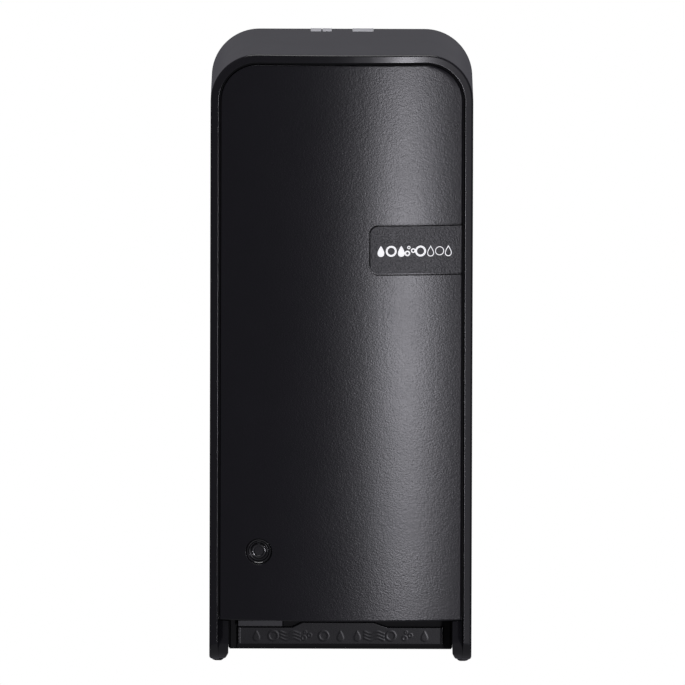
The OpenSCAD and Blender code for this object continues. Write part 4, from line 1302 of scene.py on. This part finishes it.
@dataclass
class Apron:
    """The low plate between the feet: raised edges, relief of signs, and the rounded lip under it."""

    relief: float = 0.05
    lip_top: float = 6.1
    lip_r: float = 1.9
    lip_bottom: float = 4.1
    side_top: float = 14.4
    bump_x: tuple[float, float, float, float] = (-22.0, -17.5, 15.0, 21.7)
    step: float = 0.28
    rows: int = 44
    inner_foot: float = 51.3
    shade_lip_t: float = 1.2

    def face_height(self, x: np.ndarray, z: np.ndarray, half: float, top: np.ndarray) -> np.ndarray:
        """How far each point of the face stands forward: side ridges, signs and rounded border, added up.

        Args:
            x: grid of X.
            z: grid of heights.
            half: half the plate's width.
            top: height of the plate's upper edge at each point.

        Returns:
            The grid of heights over the plane of the face.
        """
        edge = np.minimum(np.minimum(half - np.abs(x), top - z), z - self.lip_top)
        border = -0.5 * (1 - np.clip(edge / 0.5, 0, 1)) ** 2
        ridge = 0.28 * np.exp(-(((half - 0.75 - np.abs(x)) / 0.3) ** 2))
        points = np.column_stack([x.ravel(), z.ravel()])
        raised = np.full(len(points), -9.0)
        kinds = (Sign.DROP, Sign.RING, Sign.WAVES, Sign.BUBBLES, Sign.RING, Sign.DROP, Sign.DROP, Sign.WAVES,
                 Sign.RING, Sign.BUBBLES, Sign.DROP)
        for kind, middle in zip(kinds, np.linspace(-38.5, 38.5, len(kinds))):
            for outer, inner in sign_outlines(kind, middle, 10.3, 5.0):
                near = np.abs(points[:, 0] - middle) < 6
                level = inside(points[near], outer)
                if inner is not None:
                    level = np.minimum(level, -inside(points[near], inner))
                raised[near] = np.maximum(raised[near], level)
        soft = np.clip(raised / 0.55 + 0.5, 0, 1)
        return border + ridge + self.relief * (soft * soft * (3 - 2 * soft)).reshape(x.shape)

    def build(self) -> None:
        """Makes the plate and the lip."""
        low, high = span("apron")
        half = high[0]
        columns = np.linspace(-half, half, int(2 * half / self.step) + 1)
        top = np.interp(columns, self.bump_x, [self.side_top, high[2], high[2], self.side_top])
        rows = np.linspace(0, 1, self.rows)[:, None]
        z = self.lip_top + rows * (top - self.lip_top)
        x = np.repeat(columns[None, :], len(rows), axis=0)
        front = low[1] - self.face_height(x, z, half, np.repeat(top[None, :], len(rows), 0))
        face = np.stack([x, front, z], axis=-1)
        back = face.copy()
        back[..., 1] = high[1]
        edges = loft(np.array([self.border(back), self.border(face)]), first=False, last=False)
        cells = quads(*x.shape)
        both = Shape(np.vstack([face.reshape(-1, 3), back.reshape(-1, 3)]),
                     [tuple(f) for f in np.vstack([cells, cells[:, ::-1] + x.size]).tolist()])
        make_piece("apron_plate", both.joined(edges), "wall_unit", APRON.material(),
                   ("apron",), smooth=50)
        lip = self.lip_top + 0.5
        outline = np.vstack([[[high[1], self.lip_bottom], [high[1], lip], [low[1] + 0.3, lip]],
                             arc((low[1] + self.lip_r, self.lip_top - 0.1), self.lip_r, 180, 270, 9)])
        rings = [np.column_stack([np.full(len(outline), at), outline]) for at in (-half, half)]
        # The lip takes the darkened base finish: painted shade on the strip under the apron.
        make_piece("apron_lip", loft(np.array(rings)), "wall_unit", BASE_PAINTED_SHADE.material())
        self.gap_shade_lips()

    def gap_shade_lips(self) -> None:
        """Dark lips at both sides of the base that fill the gaps beside the cover's feet: painted shade that
        keeps those gaps dark.
        """
        near = span("chassis")[0][1]
        foot = self.inner_foot
        half = np.array([[foot - 1.0, 4.0], [foot - 0.05, 4.7], [foot - 0.05, 13.5], [foot - 0.4, 20.0],
                         [foot - 1.0, 20.0]])
        shapes = []
        for side in (-1, 1):
            rings = [np.column_stack([side * half[:, 0], np.full(len(half), y), half[:, 1]])
                     for y in (near, near + self.shade_lip_t)]
            shapes.append(loft(np.array(rings)))
        make_piece("base_gap_painted_shade", shapes[0].joined(shapes[1]), "wall_unit", RUBBER_AND_GAP_SHADE.material())

    def border(self, face: np.ndarray) -> np.ndarray:
        """The border points of a grid, once around."""
        return np.vstack([face[0, :-1], face[:-1, -1], face[-1, :0:-1], face[:0:-1, 0]])


@dataclass
class HingeBracket:
    """Light hinge bracket: a base on the wall plate and two ears that fill the cover's slots."""

    ear_x: tuple[float, float] = (4.86, 14.34)
    split_x: float = -9.3
    gap: float = 0.5
    split_shade_drop: float = 0.3

    def ear(self, x0: float, x1: float) -> Shape:
        """An ear between two X: flush head in the slot, round nose under it and a web to the base.

        Args:
            x0: its left side.
            x1: its right side.

        Returns:
            The ear with softened sides.
        """
        top = 280.8
        side = np.vstack([
            [[-4.0, 252.0], [-0.6, 256.0]], [[-0.6, top - 0.8]], arc((-1.4, top - 0.8), 0.8, 0, 90, 5),
            arc((-14.2, top - 0.8), 0.8, 90, 180, 5), arc((-11.0, 277.0), 4.0, 180, 270, 8),
            [[-9.2, 264.5], [-7.0, 258.0], [-7.0, 252.0]],
        ])[::-1]
        rings = []
        r, cut = 0.35, 0.12
        for x, inward in ((x0, r), (x0 + cut, cut), (x0 + r, 0), (x1 - r, 0), (x1 - cut, cut), (x1, r)):
            flat = shrunk(side, inward) if inward else side
            rings.append(np.column_stack([np.full(len(flat), x), flat[:, 0], flat[:, 1]]))
        return loft(np.array(rings))

    def build(self) -> None:
        """Makes the base with its rounded edge, and the ears."""
        low, high = span("hinge_bracket")
        r = 2.0
        outline = np.vstack([
            arc((high[0] - r, low[2] + r), r, 270, 360, 6), arc((high[0] - r, 264.5 - r), r, 0, 90, 6),
            arc((low[0] + r, 264.5 - r), r, 90, 180, 6), arc((low[0] + r, low[2] + r), r, 180, 270, 6),
        ])
        base = plate(outline, -4.0, -7.0, 0.5)
        near, far = self.ear_x
        parts = [self.ear(near, far), self.ear(-far, self.split_x - self.gap / 2),
                 self.ear(self.split_x + self.gap / 2, -near)]
        # Dark piece sunk in the split between the two left ear halves: painted shade in the split.
        split_shade = self.ear(self.split_x - self.gap, self.split_x + self.gap)
        split_shade.points[:, 2] -= self.split_shade_drop
        make_piece("bracket_split_painted_shade", split_shade, "wall_unit", RUBBER_AND_GAP_SHADE.material())
        make_piece("hinge_bracket_skin", base.joined(*parts), "wall_unit", GREY.material(),
                   ("hinge_bracket",))


# ---------------------------------------------------------------------------------------------------
# Studio
# ---------------------------------------------------------------------------------------------------


@dataclass
class Studio:
    """Camera, lamps and floor."""

    distance: float = 12.5
    frame_w: float = 0.3131
    elevation: float = 6.68
    roll: float = 0.17

    def camera(self) -> None:
        """Places the camera in front, a little above, looking at the middle of the housing."""
        target = np.array([0.57 * MM, -57 * MM, FOOT_Z + 141.6 * MM])
        tilt = math.radians(self.elevation)
        data = bpy.data.cameras.new("camera")
        data.sensor_width = 36
        data.lens = data.sensor_width * (self.distance - 57 * MM) / self.frame_w
        data.clip_end = 40
        camera = bpy.data.objects.new("camera", data)
        camera.location = target + self.distance * np.array([0, -math.cos(tilt), math.sin(tilt)])
        camera.rotation_euler = (math.radians(90) - tilt, 0, 0)
        camera.rotation_mode = "XYZ"
        turn = camera.rotation_euler.to_matrix() @ Matrix.Rotation(math.radians(self.roll), 3, "Z")
        camera.rotation_euler = turn.to_euler()
        bpy.context.scene.collection.objects.link(camera)
        bpy.context.scene.camera = camera

    def lamp(self, name: str, place: tuple[float, float, float], aim: tuple[float, float, float],
             size: tuple[float, float], power: float,
             colour: tuple[float, float, float] = NEUTRAL) -> None:
        """Adds a soft rectangular lamp.

        Args:
            name: its name.
            place: its middle in metres.
            aim: the point that it faces.
            size: its width and height in metres.
            power: its power in watts.
            colour: its colour.
        """
        data = bpy.data.lights.new(name, "AREA")
        data.shape = "RECTANGLE"
        data.size, data.size_y = size
        data.energy = power
        data.color = colour
        lamp = bpy.data.objects.new(name, data)
        lamp.location = place
        lamp.visible_camera = False
        lamp.rotation_euler = (Vector(aim) - Vector(place)).to_track_quat("-Z", "Y").to_euler()
        bpy.context.scene.collection.objects.link(lamp)

    def floor(self) -> None:
        """Pale floor below the object, seen by the camera only and clear from underneath."""
        size, drop = 30.0, FOOT_Z - 0.25
        mesh = bpy.data.meshes.new("floor")
        mesh.from_pydata([(-size, -size, drop), (size, -size, drop), (size, size, drop), (-size, size, drop)],
                         [], [(0, 1, 2, 3)])
        material = bpy.data.materials.new("pale_floor")
        material.use_nodes = True
        tree = material.node_tree
        tree.nodes.clear()
        out = tree.nodes.new("ShaderNodeOutputMaterial")
        glow = tree.nodes.new("ShaderNodeEmission")
        glow.inputs["Color"].default_value = (1, 1, 1, 1)
        clear = tree.nodes.new("ShaderNodeBsdfTransparent")
        side = tree.nodes.new("ShaderNodeNewGeometry")
        mix = tree.nodes.new("ShaderNodeMixShader")
        tree.links.new(side.outputs["Backfacing"], mix.inputs[0])
        tree.links.new(glow.outputs[0], mix.inputs[1])
        tree.links.new(clear.outputs[0], mix.inputs[2])
        tree.links.new(mix.outputs[0], out.inputs[0])
        mesh.materials.append(material)
        floor = bpy.data.objects.new("floor", mesh)
        bpy.context.scene.collection.objects.link(floor)
        floor.visible_glossy = False
        floor.visible_diffuse = False
        floor.visible_shadow = False

    def world(self) -> None:
        """Dim grey surroundings for the reflections, and pale ones where the camera sees them."""
        world = bpy.data.worlds.new("surroundings")
        bpy.context.scene.world = world
        world.use_nodes = True
        tree = world.node_tree
        tree.nodes.clear()
        out = tree.nodes.new("ShaderNodeOutputWorld")
        dim = tree.nodes.new("ShaderNodeBackground")
        dim.inputs["Color"].default_value = (0.112, 0.11, 0.125, 1)
        pale = tree.nodes.new("ShaderNodeBackground")
        pale.inputs["Color"].default_value = (1, 1, 1, 1)
        path = tree.nodes.new("ShaderNodeLightPath")
        mix = tree.nodes.new("ShaderNodeMixShader")
        tree.links.new(path.outputs["Is Camera Ray"], mix.inputs[0])
        tree.links.new(dim.outputs[0], mix.inputs[1])
        tree.links.new(pale.outputs[0], mix.inputs[2])
        tree.links.new(mix.outputs[0], out.inputs[0])

    def build(self) -> None:
        """Sets up the whole studio."""
        bpy.context.scene.view_settings.view_transform = "Standard"
        self.camera()
        self.floor()
        self.world()
        aim = (0.0, -0.08, FOOT_Z + 0.14)
        cool = (0.94, 0.925, 1.0)
        self.lamp("strip", (0.272, -1.15, FOOT_Z + 0.045), aim, (0.06, 0.23), 2.2, cool)
        self.lamp("fill", (0.75, -2.6, FOOT_Z + 0.1), aim, (1.3, 1.3), 2.6, cool)
        self.lamp("overhead", (0.0, -0.25, FOOT_Z + 1.5), aim, (1.2, 1.2), 15)
        self.lamp("behind", (0.0, 2.0, FOOT_Z + 0.55), (0.0, 0.0, FOOT_Z + 0.3), (2.6, 0.6), 0.16)
        self.lamp("floor_glow", (0.0, -0.3, FOOT_Z - 0.6), aim, (1.6, 1.6), 0.9)


# ---------------------------------------------------------------------------------------------------
# CAD nodes that keep their own shape
# ---------------------------------------------------------------------------------------------------


@dataclass
class KeptNodes:
    """Gives each CAD node that stays in view its finish and softened edges."""

    finishes: dict[str, Finish]
    bevel: float = 0.25
    bevel_angle: float = 38.0
    bevel_steps: int = 2

    def build(self) -> None:
        """Dresses every node that is named in finishes."""
        for node, finish in self.finishes.items():
            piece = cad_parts[node]
            piece.data.materials.clear()
            piece.data.materials.append(finish.material())
            weld = piece.modifiers.new("weld", "WELD")
            weld.merge_threshold = 1e-6
            edge = piece.modifiers.new("edge", "BEVEL")
            edge.width = self.bevel * MM
            edge.segments = self.bevel_steps
            edge.limit_method = "ANGLE"
            edge.angle_limit = math.radians(self.bevel_angle)
            LOG.info("%s: kept, %s", node, finish.name)


def main() -> None:
    """Builds the studio and every sub-assembly, in order."""
    logging.basicConfig(level=logging.INFO, format="%(message)s")
    Studio().build()
    housing = Housing()
    Cover(housing).build()
    panel = FrontPanel(housing)
    panel.build()
    Lock(panel).build()
    BadgePrint(panel).build()
    Apron().build()
    HingeBracket().build()
    kept = {
        "hinge_pin": STEEL, "lock_cam": STEEL, "cam_screw": STEEL,
        # The chassis takes the darkened base finish: painted shade under the panel.
        "wall_plate": INNER, "bracket_screws": STEEL, "chassis": BASE_PAINTED_SHADE,
        "chassis_screws": STEEL, "lock_keeper": KEEPER, "nozzle_grommet": RUBBER_AND_GAP_SHADE,
        "sensor_window": WINDOW, "sensor_board": BOARD, "sensor_leds": LENS, "main_board": BOARD,
        "switch_body": INNER, "switch_knob": WHITE, "wiring": WIRE, "refill_shelf": INNER,
        "refill_bottle": MILKY, "refill_cap": WHITE, "pump_body": WHITE, "pump_piston": WHITE,
        "pump_spring": STEEL, "actuator_fork": FORK, "gear_frame": INNER, "gear_frame_screws": STEEL,
        "gear_shafts": STEEL, "output_gear": ACETAL, "middle_gear": ACETAL, "motor_pinion": BRASS,
        "motor": STEEL, "battery_box": INNER, "battery_cells": SLEEVE, "battery_springs": STEEL,
        "battery_contacts": STEEL, "battery_door": INNER,
    }
    KeptNodes(kept).build()


if __name__ == "__main__":
    main()
